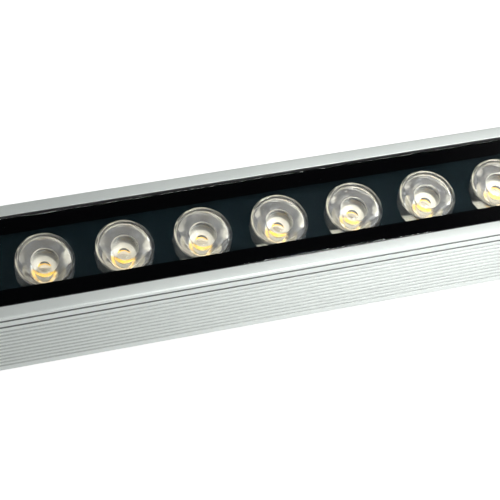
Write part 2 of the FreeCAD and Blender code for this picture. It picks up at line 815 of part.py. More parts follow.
def make_board_screws():
    """Pan head screws that hold the LED board down on the web."""
    body = new_body("board_screw")
    length = cell("board_screw_length")
    head = cell("board_head_radius")
    pad_facets(body, "board_shank", "XY_Plane", cell("board_screw_radius"), -length, length, SMALL_SIDES)
    height = cell("board_head_height")
    pad_facets(body, "board_head", "XY_Plane", head, 0, height, SMALL_SIDES)
    bevel_rim(body, "board_head_top", "Z", height, height * 0.6, head * 0.25, SMALL_SIDES)
    up = FRONT_HEIGHT - BOARD_DEPTH
    return gather("board_screws", body, [(along, across, up, 0) for along, across in board_screw_places()])


# ---- driver bay ----
def make_driver_board():
    """Driver board, slid into its guide ribs."""
    body = new_body("driver_board")
    half_width = INNER_HALF_WIDTH - cell("driver_fit")
    outline = new_sketch(body, "driver_outline", "XY_Plane", -DRIVER_DEPTH)
    draw_rectangle(outline, -DRIVER_HALF_LENGTH, -half_width, DRIVER_HALF_LENGTH, half_width)
    pad_along(body, "driver_board_form", outline, cell("driver_board_thickness"), reverse=True)
    stand_at(body, up=FRONT_HEIGHT)
    return body


def make_block(name, length, width, height):
    """A plain moulded block that stands on the driver board."""
    body = new_body(name)
    outline = new_sketch(body, name + "_outline", "XY_Plane")
    draw_rectangle(outline, -length / 2, -width / 2, length / 2, width / 2)
    pad_along(body, name + "_form", outline, height)
    return body


def make_can(name, radius, height):
    """A round can that stands on the driver board."""
    body = new_body(name)
    pad_facets(body, name + "_form", "XY_Plane", radius, 0, height, SMALL_SIDES)
    return body


def component_height(headroom):
    """Height of a component that leaves its headroom under the web."""
    return cell("component_room") - cell(headroom)


def make_transformer():
    """Ferrite core with its winding, which stands out at both ends along the bar."""
    height = component_height("core_headroom")
    body = make_block("driver_transformer", cell("core_length"), cell("core_width"), height)
    winding = new_sketch(body, "winding_outline", "YZ_Plane")
    half = cell("bobbin_width") / 2
    inset = cell("bobbin_inset")
    draw_rectangle(winding, -half, inset, half, height - inset)
    pad_both_ways(body, "winding", winding, cell("bobbin_length"))
    stand_at(body, along=-LENS_PITCH, up=FRONT_HEIGHT - DRIVER_DEPTH)
    return body


def make_driver_parts():
    """Capacitors, inductors, chips and terminal blocks, spread along the driver board."""
    up = FRONT_HEIGHT - DRIVER_DEPTH
    capacitor = make_can("capacitor", cell("capacitor_radius"), component_height("capacitor_headroom"))
    inductor = make_can("inductor", cell("inductor_radius"), component_height("inductor_headroom"))
    chip = make_block("chip", cell("chip_length"), cell("chip_width"), cell("chip_height"))
    terminal = make_block("terminal", cell("terminal_length"), cell("terminal_width"),
                          component_height("terminal_headroom"))
    terminal_end = DRIVER_HALF_LENGTH - cell("terminal_length") / 2
    return [
        gather("driver_capacitors", capacitor, [(LENS_PITCH * step, 0, up, 0) for step in (-4, -3, 2, 5)]),
        gather("driver_inductors", inductor, [(LENS_PITCH * step, 0, up, 0) for step in (-5, 3, 4)]),
        gather("driver_chips", chip, [(LENS_PITCH * step, 0, up, 0) for step in (-2, 0, 1)]),
        gather("terminal_blocks", terminal, [(terminal_end, 0, up, 0), (-terminal_end, 0, up, 180)]),
    ]


def bend_wire(corners):
    """Sweep a wire with a hexagon section along straight runs that meet in mitres."""
    turn = FreeCAD.Rotation(Z_DIRECTION, corners[1] - corners[0])
    points = []
    for step in range(7):
        angle = math.radians(60 * step)
        spoke = FreeCAD.Vector(math.cos(angle), math.sin(angle), 0) * cell("wire_radius").value
        points.append(corners[0] + turn.multVec(spoke))
    return Part.makePolygon(corners).makePipeShell([Part.makePolygon(points)], True, False, 1)


def make_wiring():
    """Two through wires between the terminal blocks and the two leads that rise to the LED board."""
    driver_top = (FRONT_HEIGHT - DRIVER_DEPTH).value
    board_top = (FRONT_HEIGHT - BOARD_DEPTH).value
    wire_end = (DRIVER_HALF_LENGTH - cell("terminal_length")).value
    rest = driver_top + (cell("wire_radius") + cell("wire_rest")).value
    spacing = cell("wire_spacing").value
    wires = []
    for number in range(2):
        across = cell("wire_side").value + spacing * number
        ends = [FreeCAD.Vector(-wire_end, across, rest), FreeCAD.Vector(wire_end, across, rest)]
        wires.append(bend_wire(ends))
    rise = LEAD_SIDE.value
    pad = (BOARD_HALF_WIDTH - cell("wire_inset")).value
    top = board_top + cell("wire_lift").value
    for side in (-0.5, 0.5):
        along = LEAD_STATION.value + spacing * side
        wires.append(bend_wire([
            FreeCAD.Vector(along, rise, driver_top), FreeCAD.Vector(along, rise, top),
            FreeCAD.Vector(along, pad, top), FreeCAD.Vector(along, pad, board_top),
        ]))
    loom = doc.addObject("Part::Feature", "wiring_loom")
    loom.Shape = Part.makeCompound(wires)
    loom.Placement = FreeCAD.Placement()
    return loom


# ---- ends ----
def make_gasket(name, side):
    """Flat rubber sheet between the extrusion and an end cap, cut out for screws and cable."""
    body = new_body(name)
    inset = cell("gasket_inset")
    outline = new_sketch(body, "gasket_outline", "YZ_Plane")
    draw_rectangle(outline, -(HALF_WIDTH - inset), -(HOUSING_DEPTH - inset), HALF_WIDTH - inset, -inset)
    draw_cap_screws(outline, cell("cap_screw_hole"), SMALL_SIDES)
    draw_facets(outline, cell("gasket_hole_radius"), 0, -ENTRY_DEPTH)
    pad_along(body, "gasket", outline, cell("gasket_thickness"))
    face_outwards(body, side, HOUSING_HALF, FRONT_HEIGHT)
    return body


def draw_cap_screws(sketch, radius, sides=ROUND_SIDES):
    """Draw the four screw holes that line up with the screw channels."""
    for depth in (FRONT_BOSS_DEPTH, REAR_BOSS_DEPTH):
        for side in (1, -1):
            draw_facets(sketch, radius, BOSS_SIDE * side, -depth, sides)


def face_outwards(body, side, along, up):
    """Place an end piece, turned round for the left end."""
    turn = 0 if side > 0 else 180
    body.Placement = FreeCAD.Placement(FreeCAD.Vector(), FreeCAD.Rotation(Z_DIRECTION, turn))
    stand_at(body, along=along * side, up=up)


def make_end_cap(name, side):
    """Solid aluminium cap with broken edges, counterbored screw holes and a cable entry."""
    body = new_body(name)
    thickness = cell("cap_thickness")
    outline = new_sketch(body, "cap_outline", "YZ_Plane")
    draw_rectangle(outline, -HALF_WIDTH, -HOUSING_DEPTH, HALF_WIDTH, 0)
    pad_along(body, "cap", outline, thickness)
    finish_edges(body, "Chamfer", "cap_corners", lambda edge: runs_along(edge, X_DIRECTION),
                 "Size", cell("cap_corner"))
    finish_edges(body, "Chamfer", "cap_edge", lambda edge: near(edge.BoundBox.XMin, thickness),
                 "Size", cell("cap_edge"))
    holes = new_sketch(body, "cap_holes", "YZ_Plane")
    draw_cap_screws(holes, cell("cap_screw_hole"), SMALL_SIDES)
    draw_facets(holes, cell("gland_thread_radius") + cell("gland_fit"), 0, -ENTRY_DEPTH)
    cut_through(body, "cap_hole_cuts", holes)
    heads = new_sketch(body, "head_seats", "YZ_Plane", thickness)
    draw_cap_screws(heads, cell("cap_head_radius") + cell("cap_head_fit"))
    cut_along(body, "counterbores", heads, cell("cap_head_height"))
    face_outwards(body, side, CAP_START, FRONT_HEIGHT)
    return body


def make_cap_screws():
    """Eight socket screws, four to each cap, sunk flush with it; they end in the screw channels."""
    body = new_body("cap_screw")
    length = cell("cap_screw_length")
    height = cell("cap_head_height")
    shank = cell("cap_screw_radius")
    pad_facets(body, "cap_shank", "YZ_Plane", shank, -length, length - height, SMALL_SIDES)
    pad_facets(body, "cap_head", "YZ_Plane", cell("cap_head_radius"), -height, height, SMALL_SIDES)
    cut_socket(body, "cap_socket", "YZ_Plane", "cap_socket_flats", 0, cell("cap_socket_depth"))
    places = []
    for side, turn in ((1, 0), (-1, 180)):
        for depth in (FRONT_BOSS_DEPTH, REAR_BOSS_DEPTH):
            for across in (1, -1):
                places.append((CAP_FACE * side, BOSS_SIDE * across, FRONT_HEIGHT - depth, turn))
    return gather("end_cap_screws", body, places)


# ---- cable glands ----
def both_ends(label, source):
    """Put a gland piece on both end caps."""
    return gather(label, source, [(CAP_FACE, 0, ENTRY_HEIGHT, 0), (-CAP_FACE, 0, ENTRY_HEIGHT, 180)])


def make_gland_washers():
    """Flat sealing washer under the gland's hexagon."""
    body = new_body("gland_washer")
    inner = cell("gland_thread_radius") + cell("gland_fit")
    outer = cell("gland_washer_radius")
    thickness = cell("gland_washer_thickness")
    pad_facets(body, "gland_washer_form", "YZ_Plane", outer, 0, thickness, inner=inner)
    return both_ends("gland_washers", body)


def gland_hex_end():
    """Outer end of the gland's hexagon, from the cap's face."""
    return cell("gland_washer_thickness") + cell("gland_hex_length")


def make_gland_bodies():
    """Gland body: thread in the cap, hexagon, and a hollow collar that holds the seal."""
    body = new_body("gland_body")
    hex_start = cell("gland_washer_thickness")
    hexagon = new_sketch(body, "gland_hexagon", "YZ_Plane", hex_start)
    draw_hexagon(hexagon, "gland_flats")
    pad_along(body, "gland_hex", hexagon, cell("gland_hex_length"))
    length = cell("gland_thread_length")
    thread_end = hex_start - length
    hex_end = gland_hex_end()
    collar_end = hex_end + cell("collar_length")
    pad_facets(body, "gland_thread", "YZ_Plane", cell("gland_thread_radius"), thread_end, length)
    pad_facets(body, "collar", "YZ_Plane", cell("collar_radius"), hex_end, cell("collar_length"))
    bore_facets(body, "throat", "YZ_Plane", cell("throat_radius"), thread_end, collar_end - thread_end)
    bore_facets(body, "seal_bore", "YZ_Plane", cell("collar_bore"), seal_seat(), collar_end - seal_seat())
    return both_ends("gland_bodies", body)


def seal_seat():
    """Step in the gland's bore that the seal stands on."""
    return gland_hex_end() + cell("collar_length") - cell("seal_length") - cell("seal_fit")


def make_gland_seals():
    """Rubber sleeve that the dome nut squeezes on the cable."""
    body = new_body("gland_seal")
    start = seal_seat() + cell("seal_fit")
    inner = cell("cable_radius")
    outer = cell("collar_bore") - cell("seal_fit")
    sketch = new_sketch(body, "gland_seal_outline", "YZ_Plane", start)
    draw_facets(sketch, outer)
    draw_circle(sketch, 0, 0, inner)
    pad_along(body, "gland_seal_form", sketch, cell("seal_length"))
    return both_ends("gland_seals", body)


def make_gland_nuts():
    """Dome nut: hexagon skirt over the collar and a tapered nose with the cable mouth."""
    body = new_body("gland_nut")
    start = gland_hex_end() + cell("dome_gap")
    skirt_end = start + cell("dome_skirt_length")
    nose_end = skirt_end + cell("dome_nose_length")
    hexagon = new_sketch(body, "dome_hexagon", "YZ_Plane", start)
    draw_hexagon(hexagon, "gland_flats")
    pad_along(body, "dome_skirt", hexagon, cell("dome_skirt_length"))
    root_radius = cell("gland_flats") / 2 - cell("dome_gap")
    nose = cell("dome_nose_length")
    pad_facets(body, "dome_nose", "YZ_Plane", root_radius, skirt_end, nose)
    slope = root_radius - cell("dome_nose_radius")
    bevel_rim(body, "dome_slope", "X", nose_end, nose * 0.8, slope)
    bore = cell("collar_radius") + cell("gland_fit")
    wall = nose_end - cell("dome_end_wall")
    bore_facets(body, "dome_bore", "YZ_Plane", bore, start, wall - start)
    bore_facets(body, "dome_mouth", "YZ_Plane", cell("dome_mouth_radius"), start, nose_end - start)
    return both_ends("gland_nuts", body)


# ---- brackets ----
def slot_nut_thickness():
    """The T-nut is thinner than the T-slot is high, so it can be slid."""
    return cell("slot_height") - cell("slot_nut_top_fit")


def make_slot_nut(name, along):
    """T-nut: a threaded plate that slides in the T-slot."""
    body = new_body(name)
    half_length = cell("slot_nut_length") / 2
    half_width = cell("slot_width") / 2 - cell("slot_nut_side_fit")
    lift = cell("rear_wall") + cell("slide_fit") * 2
    outline = new_sketch(body, "slot_nut_outline", "XY_Plane", lift)
    draw_rectangle(outline, -half_length, -half_width, half_length, half_width)
    draw_facets(outline, THREAD_BORE, clear=True)
    pad_along(body, "slot_nut", outline, slot_nut_thickness())
    stand_at(body, along, 0, YOKE_HEIGHT)
    return body


def make_button_screw(body, length, shank_sides):
    """Button head screw along the X axis: head to +X of the origin, shank to -X."""
    radius = cell("bolt_radius")
    head = cell("head_radius")
    height = cell("head_height")
    pad_facets(body, "shank", "YZ_Plane", radius, -length, length, shank_sides)
    pad_facets(body, "head", "YZ_Plane", head, 0, height)
    bevel_rim(body, "head_crown", "X", height, height * 2 / 3, head * 0.4)
    cut_socket(body, "socket", "YZ_Plane", "socket_flats", height, cell("socket_depth"))


def make_clamp_screw(name, along):
    """Screw that pulls the T-nut and the yoke together."""
    body = new_body(name)
    below = cell("sheet_thickness") + cell("washer_thickness")
    above = cell("rear_wall") + cell("slide_fit") * 2 + slot_nut_thickness() + cell("clamp_grip")
    make_button_screw(body, below + above, ROUND_SIDES)
    body.Placement = FreeCAD.Placement(FreeCAD.Vector(), FreeCAD.Rotation(Y_DIRECTION, 90))
    stand_at(body, along, 0, YOKE_HEIGHT - below)
    return body


def make_ring(body, inner, thickness, plane):
    """Flat washer pad on one of the body's planes."""
    outline = new_sketch(body, "washer_outline", plane)
    draw_facets(outline, cell("washer_radius"))
    draw_facets(outline, inner, clear=True)
    pad_along(body, "washer", outline, thickness)


def make_clamp_washer(name, along):
    """Washer between the clamp screw's head and the yoke."""
    body = new_body(name)
    make_ring(body, RUNNING_BORE, cell("washer_thickness"), "XY_Plane")
    stand_at(body, along, 0, YOKE_HEIGHT - cell("sheet_thickness") - cell("washer_thickness"))
    return body


def fold_sheet(body, half_inside, face, base, centre, bend_height):
    """Fold a strip into a U: two ears with round ends and a flat between them, with real bends."""
    thickness = cell("sheet_thickness")
    radius = cell("ear_radius")
    upright = size_of(centre).value > size_of(base).value
    ears = new_sketch(body, "ear_outline", "YZ_Plane")
    draw_tombstone(ears, radius, base, centre)
    pad_both_ways(body, "ears", ears, face * 2)
    gap = new_sketch(body, "gap_outline", "XZ_Plane")
    overrun = centre + radius * (1.2 if upright else -1.2)
    draw_rectangle(gap, -half_inside, bend_height, half_inside, overrun)
    cut_through(body, "gap", gap)
    finish_edges(body, "Fillet", "inner_bends",
                 lambda edge: runs_along(edge, Y_DIRECTION) and near(abs(edge.BoundBox.XMin), half_inside),
                 "Radius", cell("bend_radius"))
    finish_edges(body, "Fillet", "outer_bends",
                 lambda edge: runs_along(edge, Y_DIRECTION) and near(abs(edge.BoundBox.XMin), face),
                 "Radius", cell("bend_radius") + thickness)


def make_yoke(name, along):
    """Folded yoke under the housing: its ears hang down to the pivot."""
    body = new_body(name)
    thickness = cell("sheet_thickness")
    fold_sheet(body, YOKE_FACE - thickness, YOKE_FACE, size_of(0), -cell("pivot_drop"), -thickness)
    pivot = new_sketch(body, "pivot_outline", "YZ_Plane")
    draw_facets(pivot, RUNNING_BORE, up=-cell("pivot_drop"), clear=True)
    cut_through(body, "pivot_holes", pivot)
    clamp = new_sketch(body, "clamp_outline", "XY_Plane")
    draw_facets(clamp, RUNNING_BORE, clear=True)
    cut_through(body, "clamp_hole", clamp)
    stand_at(body, along, 0, YOKE_HEIGHT)
    return body


def draw_slot(sketch, middle, width, length):
    """Draw a round-ended slot along Y about a middle point on the Y axis."""
    radius = size_of(width) / 2
    reach = size_of(length) / 2 - radius
    arcs = []
    for end, turn in ((1, (0, math.pi)), (-1, (math.pi, 2 * math.pi))):
        centre = middle + reach * end
        circle = Part.Circle(FreeCAD.Vector(0, centre.value, 0), Z_DIRECTION, radius.value)
        arc = sketch.addGeometry(Part.ArcOfCircle(circle, *turn))
        arcs.append(arc)
    for side, first, second in ((1, 1, 2), (-1, 2, 1)):
        line = sketch.addGeometry(Part.LineSegment(
            FreeCAD.Vector(radius.value * side, (middle + reach).value, 0),
            FreeCAD.Vector(radius.value * side, (middle - reach).value, 0)))
        sketch.addConstraint(Sketcher.Constraint("Coincident", arcs[0], first, line, 1))
        sketch.addConstraint(Sketcher.Constraint("Coincident", arcs[1], second, line, 2))
        place_point(sketch, line, 1, radius * side, middle + reach)
        place_point(sketch, line, 2, radius * side, middle - reach)
    for arc, end in zip(arcs, (1, -1)):
        constrain(sketch, "DistanceY", -1, 1, arc, 3, middle + reach * end)


def make_foot(name, along):
    """Folded foot: two ears on the pivot bolts and a base plate with two slots for anchors."""
    body = new_body(name)
    thickness = cell("sheet_thickness")
    fold_sheet(body, FOOT_INNER, FOOT_FACE, size_of(0), cell("pivot_height"), thickness)
    pivot = new_sketch(body, "pivot_outline", "YZ_Plane")
    draw_circle(pivot, 0, cell("pivot_height"), RUNNING_BORE)
    cut_through(body, "pivot_holes", pivot)
    half_length = cell("foot_length") / 2
    half_width = FOOT_INNER - cell("bend_radius")
    base = new_sketch(body, "base_outline", "XY_Plane")
    draw_rectangle(base, -half_width, -half_length, half_width, half_length)
    pad_along(body, "base_plate", base, thickness)
    finish_edges(body, "Chamfer", "base_corners",
                 lambda edge: runs_along(edge, Z_DIRECTION) and near(abs(edge.BoundBox.YMin), half_length),
                 "Size", cell("foot_corner"))
    slots = new_sketch(body, "anchor_outline", "XY_Plane")
    for side in (1, -1):
        draw_slot(slots, cell("anchor_spacing") / 2 * side, cell("anchor_width"), cell("anchor_length"))
    cut_through(body, "anchor_slots", slots)
    stand_at(body, along, 0, 0)
    return body


def at_both_ears(label, source, along, offset):
    """Put one piece at each ear of a bracket, facing away from the other."""
    pivot = cell("pivot_height")
    return gather(label, source, [(along + offset, 0, pivot, 0), (along - offset, 0, pivot, 180)])


def make_pivot_pieces():
    """The screw, nut and washer that each ear of both brackets has."""
    thickness = cell("sheet_thickness")
    screw = new_body("pivot_screw")
    length = HEAD_FACE - YOKE_FACE + thickness + cell("nut_height") + cell("clamp_grip")
    make_button_screw(screw, length, SHANK_SIDES)
    nut = new_body("pivot_nut")
    hexagon = new_sketch(nut, "nut_outline", "YZ_Plane")
    draw_hexagon(hexagon, "nut_flats")
    draw_facets(hexagon, THREAD_BORE, clear=True)
    pad_along(nut, "nut", hexagon, cell("nut_height"), reverse=True)
    washer = new_body("ear_washer")
    make_ring(washer, RUNNING_BORE, cell("washer_thickness"), "YZ_Plane")
    return screw, nut, washer


def make_bracket(name, side, pivot_pieces):
    """One bracket: what slides in the T-slot, the yoke, the pivots and the foot."""
    along = BRACKET_PLACE * side
    screw, nut, washer = pivot_pieces
    return [
        make_slot_nut("slot_nut_" + name, along),
        make_clamp_screw("clamp_screw_" + name, along),
        make_clamp_washer("clamp_washer_" + name, along),
        make_yoke("yoke_" + name, along),
        make_foot("foot_" + name, along),
        at_both_ears("pivot_screws_" + name, screw, along, HEAD_FACE),
        at_both_ears("pivot_nuts_" + name, nut, along, YOKE_FACE - cell("sheet_thickness")),
        at_both_ears("outer_washers_" + name, washer, along, OUTER_WASHER),
        at_both_ears("friction_washers_" + name, washer, along, YOKE_FACE),
    ]


# ---- write out ----
def check_document():
    """Stop if any object of the document failed to build."""
    for item in doc.Objects:
        if "Invalid" in item.State or "Error" in item.State:
            raise RuntimeError(item.Name + " did not build: " + str(item.State))


def export(pieces):
    """Write each sub-part to its own file."""
    for piece in pieces:
        shape = piece.Shape
        if shape.isNull() or not shape.isValid() or not shape.Solids:
            raise RuntimeError(piece.Label + " is not a valid solid")
    os.makedirs("parts", exist_ok=True)
    for piece in pieces:
        piece.Shape.exportStep("parts/" + piece.Label + ".step")


def make_light():
    """Build every sub-part."""
    pieces = [
        make_housing(), make_glass(), make_print(), make_sealant(), make_face_plate(), make_lens_holders(),
        make_lenses(), make_emitters(), make_led_board(), make_board_screws(), make_driver_board(),
        make_transformer(), make_wiring(),
    ]
    pieces += make_driver_parts()
    for name, side in (("right", 1), ("left", -1)):
        pieces.append(make_gasket("end_gasket_" + name, side))
        pieces.append(make_end_cap("end_cap_" + name, side))
    pieces.append(make_cap_screws())
    pieces += [make_gland_washers(), make_gland_bodies(), make_gland_seals(), make_gland_nuts()]
    pivot_pieces = make_pivot_pieces()
    for name, side in (("right", 1), ("left", -1)):
        pieces += make_bracket(name, side, pivot_pieces)
    return pieces


light = make_light()
doc.recompute()
check_document()
export(light)
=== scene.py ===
"""Looks of a linear outdoor wall washer light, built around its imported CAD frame, in metres."""
import json
import logging
import math
from dataclasses import dataclass
from enum import Enum
from functools import lru_cache
from typing import Callable, Iterable, Optional, Sequence

import bmesh
import bpy
from mathutils import Matrix, Vector

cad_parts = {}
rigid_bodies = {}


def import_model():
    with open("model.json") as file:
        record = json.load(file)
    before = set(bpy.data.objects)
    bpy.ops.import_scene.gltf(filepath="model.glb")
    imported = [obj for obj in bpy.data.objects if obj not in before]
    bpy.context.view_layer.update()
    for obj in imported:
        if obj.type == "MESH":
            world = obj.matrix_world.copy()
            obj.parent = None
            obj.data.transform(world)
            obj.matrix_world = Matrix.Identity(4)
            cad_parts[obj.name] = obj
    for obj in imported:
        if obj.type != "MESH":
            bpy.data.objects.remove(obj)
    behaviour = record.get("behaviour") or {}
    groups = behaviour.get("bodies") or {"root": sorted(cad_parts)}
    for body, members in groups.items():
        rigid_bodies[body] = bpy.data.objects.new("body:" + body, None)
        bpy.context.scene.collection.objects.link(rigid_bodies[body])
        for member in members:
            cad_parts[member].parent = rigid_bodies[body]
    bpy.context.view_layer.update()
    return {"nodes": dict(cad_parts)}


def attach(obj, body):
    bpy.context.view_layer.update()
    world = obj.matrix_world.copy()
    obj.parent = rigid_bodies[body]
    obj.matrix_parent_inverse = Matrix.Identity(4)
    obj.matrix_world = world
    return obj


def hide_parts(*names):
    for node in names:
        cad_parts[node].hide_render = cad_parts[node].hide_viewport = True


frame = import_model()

log = logging.getLogger("wall_washer")

Point = tuple[float, float]
Place = tuple[float, float, float]
Corner = tuple[float, float, float]
Colour = tuple[float, float, float, float]
Node, Socket, Tree = bpy.types.Node, bpy.types.NodeSocket, bpy.types.NodeTree
Mesh, Material, Object = bpy.types.Mesh, bpy.types.Material, bpy.types.Object
WHITE: Colour = (1.0, 1.0, 1.0, 1.0)
MERGE_DISTANCE = 1e-7


def mm(value: float) -> float:
    """Return millimetres as metres."""
    return value / 1000.0


class Side(Enum):
    """The two ends of the bar."""

    LEFT = -1
    RIGHT = 1

    @property
    def word(self) -> str:
        """Return the side's word in the names of nodes and bodies."""
        return self.name.lower()

    @property
    def outwards(self) -> Matrix:
        """Return the turn that points a piece drawn along +Z out of this end."""
        return Matrix.Rotation(math.pi / 2 * self.value, 4, "Y")


# ---------------------------------------------------------------- shader nodes
class Bench:
    """Adds nodes to one tree and joins their sockets."""

    def __init__(self, tree: Tree) -> None:
        """Take the tree to work on and empty it."""
        self.tree = tree
        tree.nodes.clear()

    def add(self, kind: str, **values: object) -> Node:
        """Add a node.

        Args:
            kind: The node's type name, such as "ShaderNodeMix".
            values: Properties of the node.

        Returns:
            The new node.
        """
        node = self.tree.nodes.new(kind)
        for name, value in values.items():
            setattr(node, name, value)
        return node

    def join(self, source: Socket, target: Socket) -> None:
        """Link an output to an input."""
        self.tree.links.new(source, target)

    def wire(self, source: Node, target: Node, **pairs: str) -> None:
        """Link outputs of one node to inputs of another.

        Args:
            source: The node whose outputs are linked.
            target: The node whose inputs take them.
            pairs: Each input's name, with _ for a space, and its output's name.
        """
        for label, output in pairs.items():
            self.join(source.outputs[output], target.inputs[label.replace("_", " ")])

    def math(self, operation: str, first: object, second: object = 0.0,
             clamp: bool = False) -> Socket:
        """Add a Math node, each of whose terms is a number or a socket.

        Returns:
            The node's result.
        """
        node = self.add("ShaderNodeMath", operation=operation, use_clamp=clamp)
        for socket, term in zip(node.inputs, (first, second)):
            self.feed(term, socket)
        return node.outputs[0]

    def feed(self, term: object, socket: Socket) -> None:
        """Link a socket to a source, or set its constant."""
        if isinstance(term, Socket):
            self.join(term, socket)
        else:
            socket.default_value = term

    def fill(self, node: Node, **terms: object) -> None:
        """Feed a node's inputs, named with _ for a space, each by a number or a socket."""
        for label, term in terms.items():
            self.feed(term, node.inputs[label.replace("_", " ")])

    def times(self, first: object, second: object, clamp: bool = False) -> Socket:
        """Return the product of two terms."""
        return self.math("MULTIPLY", first, second, clamp)

    def plus(self, first: object, second: object, clamp: bool = False) -> Socket:
        """Return the sum of two terms."""
        return self.math("ADD", first, second, clamp)

    def mix(self, share: object, first: object, second: object) -> Socket:
        """Add a colour mix.

        Returns:
            The mixed colour.
        """
        node = self.add("ShaderNodeMix", data_type="RGBA")
        for socket, term in ((node.inputs[0], share), (node.inputs[6], first), (node.inputs[7], second)):
            self.feed(term, socket)
        return node.outputs[2]

    def ramp(self, source: Socket, low: float, high: float) -> Socket:
        """Spread a value from low..high over 0..1, smoothly.

        Returns:
            The spread value.
        """
        node = self.add("ShaderNodeMapRange", interpolation_type="SMOOTHSTEP")
        self.fill(node, Value=source, From_Min=low, From_Max=high)
        return node.outputs["Result"]

    def noise(self, place: Socket, scale: object, detail: float = 3.0) -> Socket:
        """Add a noise texture.

        Returns:
            Its factor.
        """
        node = self.add("ShaderNodeTexNoise")
        self.fill(node, Vector=place, Scale=scale, Detail=detail)
        return node.outputs["Fac"]


def colour(red: float, green: float, blue: float) -> Colour:
    """Return a linear colour from the sRGB numbers of a picture, 0 to 255."""
    def linear(number: float) -> float:
        """Return one channel without its gamma."""
        share = number / 255.0
        return share / 12.92 if share <= 0.04045 else ((share + 0.055) / 1.055) ** 2.4

    return linear(red), linear(green), linear(blue), 1.0


def darker(tone: Colour, share: float) -> Colour:
    """Return a colour at a share of its light."""
    return tone[0] * share, tone[1] * share, tone[2] * share, 1.0


def start_group(name: str, inputs: Sequence[tuple[str, float]],
                outputs: Sequence[str]) -> tuple[Bench, Node, Node]:
    """Start a shader node group.

    Args:
        name: The group's name.
        inputs: Names and defaults of its number inputs.
        outputs: Names of its number outputs.

    Returns:
        Its bench, its input node and its output node.
    """
    tree = bpy.data.node_groups.new(name, "ShaderNodeTree")
    for label, default in inputs:
        socket = tree.interface.new_socket(label, in_out="INPUT", socket_type="NodeSocketFloat")
        socket.default_value = default
    for label in outputs:
        tree.interface.new_socket(label, in_out="OUTPUT", socket_type="NodeSocketFloat")
    bench = Bench(tree)
    return bench, bench.add("NodeGroupInput"), bench.add("NodeGroupOutput")


@lru_cache(maxsize=None)
def edge_wear_group() -> Tree:
    """Build the group that masks rubbed edges: where a rounded normal leaves the true one, broken by noise.

    Returns:
        The node group.
    """
    bench, given, result = start_group("edge_wear", [("Radius", 0.0004), ("Patches", 180.0)], ["Wear"])
    bevel = bench.add("ShaderNodeBevel", samples=4)
    bench.wire(given, bevel, Radius="Radius")
    flat = bench.add("ShaderNodeNewGeometry")
    dot = bench.add("ShaderNodeVectorMath", operation="DOT_PRODUCT")
    bench.join(bevel.outputs["Normal"], dot.inputs[0])
    bench.join(flat.outputs["Normal"], dot.inputs[1])
    bend = bench.math("SUBTRACT", 1.0, dot.outputs["Value"], clamp=True)
    place = bench.add("ShaderNodeTexCoord").outputs["Object"]
    patches = bench.noise(place, given.outputs["Patches"])
    rubbed = bench.times(bench.ramp(bend, 0.01, 0.2), bench.ramp(patches, 0.38, 0.7))
    bench.fill(result, Wear=rubbed)
    return bench.tree


@lru_cache(maxsize=None)
def grain_group() -> Tree:
    """Build the group for fine grain: noise that can be drawn out along X.

    Returns:
        The node group.
    """
    bench, given, result = start_group(
        "fine_grain", [("Scale", 900.0), ("Along X", 1.0)], ["Shade", "Height"])
    place = bench.add("ShaderNodeTexCoord").outputs["Object"]
    stretch = bench.add("ShaderNodeCombineXYZ")
    bench.fill(stretch, X=given.outputs["Along X"], Y=1.0, Z=1.0)
    drawn = bench.add("ShaderNodeVectorMath", operation="MULTIPLY")
    bench.join(place, drawn.inputs[0])
    bench.join(stretch.outputs["Vector"], drawn.inputs[1])
    fine = bench.noise(drawn.outputs["Vector"], given.outputs["Scale"], 4.0)
    broad = bench.noise(drawn.outputs["Vector"], bench.times(given.outputs["Scale"], 0.12))
    bench.fill(result, Shade=bench.plus(bench.times(fine, 0.6), bench.times(broad, 0.4)), Height=fine)
    return bench.tree


@lru_cache(maxsize=None)
def dust_group() -> Tree:
    """Build the group that masks thin dust and smears, denser on what faces up.

    Returns:
        The node group.
    """
    bench, given, result = start_group("thin_dust", [("Amount", 0.2), ("Scale", 35.0)], ["Dust", "Smear"])
    place = bench.add("ShaderNodeTexCoord").outputs["Object"]
    cloud = bench.noise(place, given.outputs["Scale"], 5.0)
    specks = bench.noise(place, bench.times(given.outputs["Scale"], 40.0), 2.0)
    normal = bench.add("ShaderNodeSeparateXYZ")
    bench.join(bench.add("ShaderNodeNewGeometry").outputs["Normal"], normal.inputs[0])
    upward = bench.plus(bench.times(normal.outputs["Z"], 0.35), 0.65, clamp=True)
    settled = bench.times(bench.ramp(cloud, 0.35, 0.8), upward)
    speckled = bench.plus(settled, bench.ramp(specks, 0.66, 0.8))
    bench.fill(result, Dust=bench.times(speckled, given.outputs["Amount"], clamp=True),
               Smear=bench.ramp(cloud, 0.3, 0.7))
    return bench.tree


@lru_cache(maxsize=None)
def painted_crevice_shade_group() -> Tree:
    """Build the group for painted shade: it masks grooves, flutes and inner corners by how much of the light
    they lose, so that materials darken their colour there.

    Returns:
        The node group.
    """
    bench, given, result = start_group("crevice", [("Reach", 0.002), ("Gain", 3.0)], ["Mask"])
    # painted shade: ambient occlusion within Reach becomes a mask, scaled by Gain
    hidden = bench.add("ShaderNodeAmbientOcclusion", samples=12, only_local=True)
    bench.wire(given, hidden, Distance="Reach")
    lost = bench.math("SUBTRACT", 1.0, hidden.outputs["AO"], clamp=True)
    bench.fill(result, Mask=bench.times(lost, given.outputs["Gain"], clamp=True))
    return bench.tree


class Effect(Enum):
    """The shared effects that a material can place."""

    EDGE_WEAR = "edge_wear"
    GRAIN = "fine_grain"
    DUST = "thin_dust"
    # painted shade that darkens grooves, flutes and inner corners
    CREVICE = "crevice"

    def place(self, bench: Bench, **numbers: float) -> Node:
        """Place the effect in a material.

        Args:
            bench: The material's bench.
            numbers: Values of the group's inputs, with _ for a space.

        Returns:
            The group's node.
        """
        makers = {Effect.EDGE_WEAR: edge_wear_group, Effect.GRAIN: grain_group, Effect.DUST: dust_group,
                  Effect.CREVICE: painted_crevice_shade_group}
        node = bench.add("ShaderNodeGroup")
        node.node_tree = makers[self]()
        bench.fill(node, **numbers)
        return node


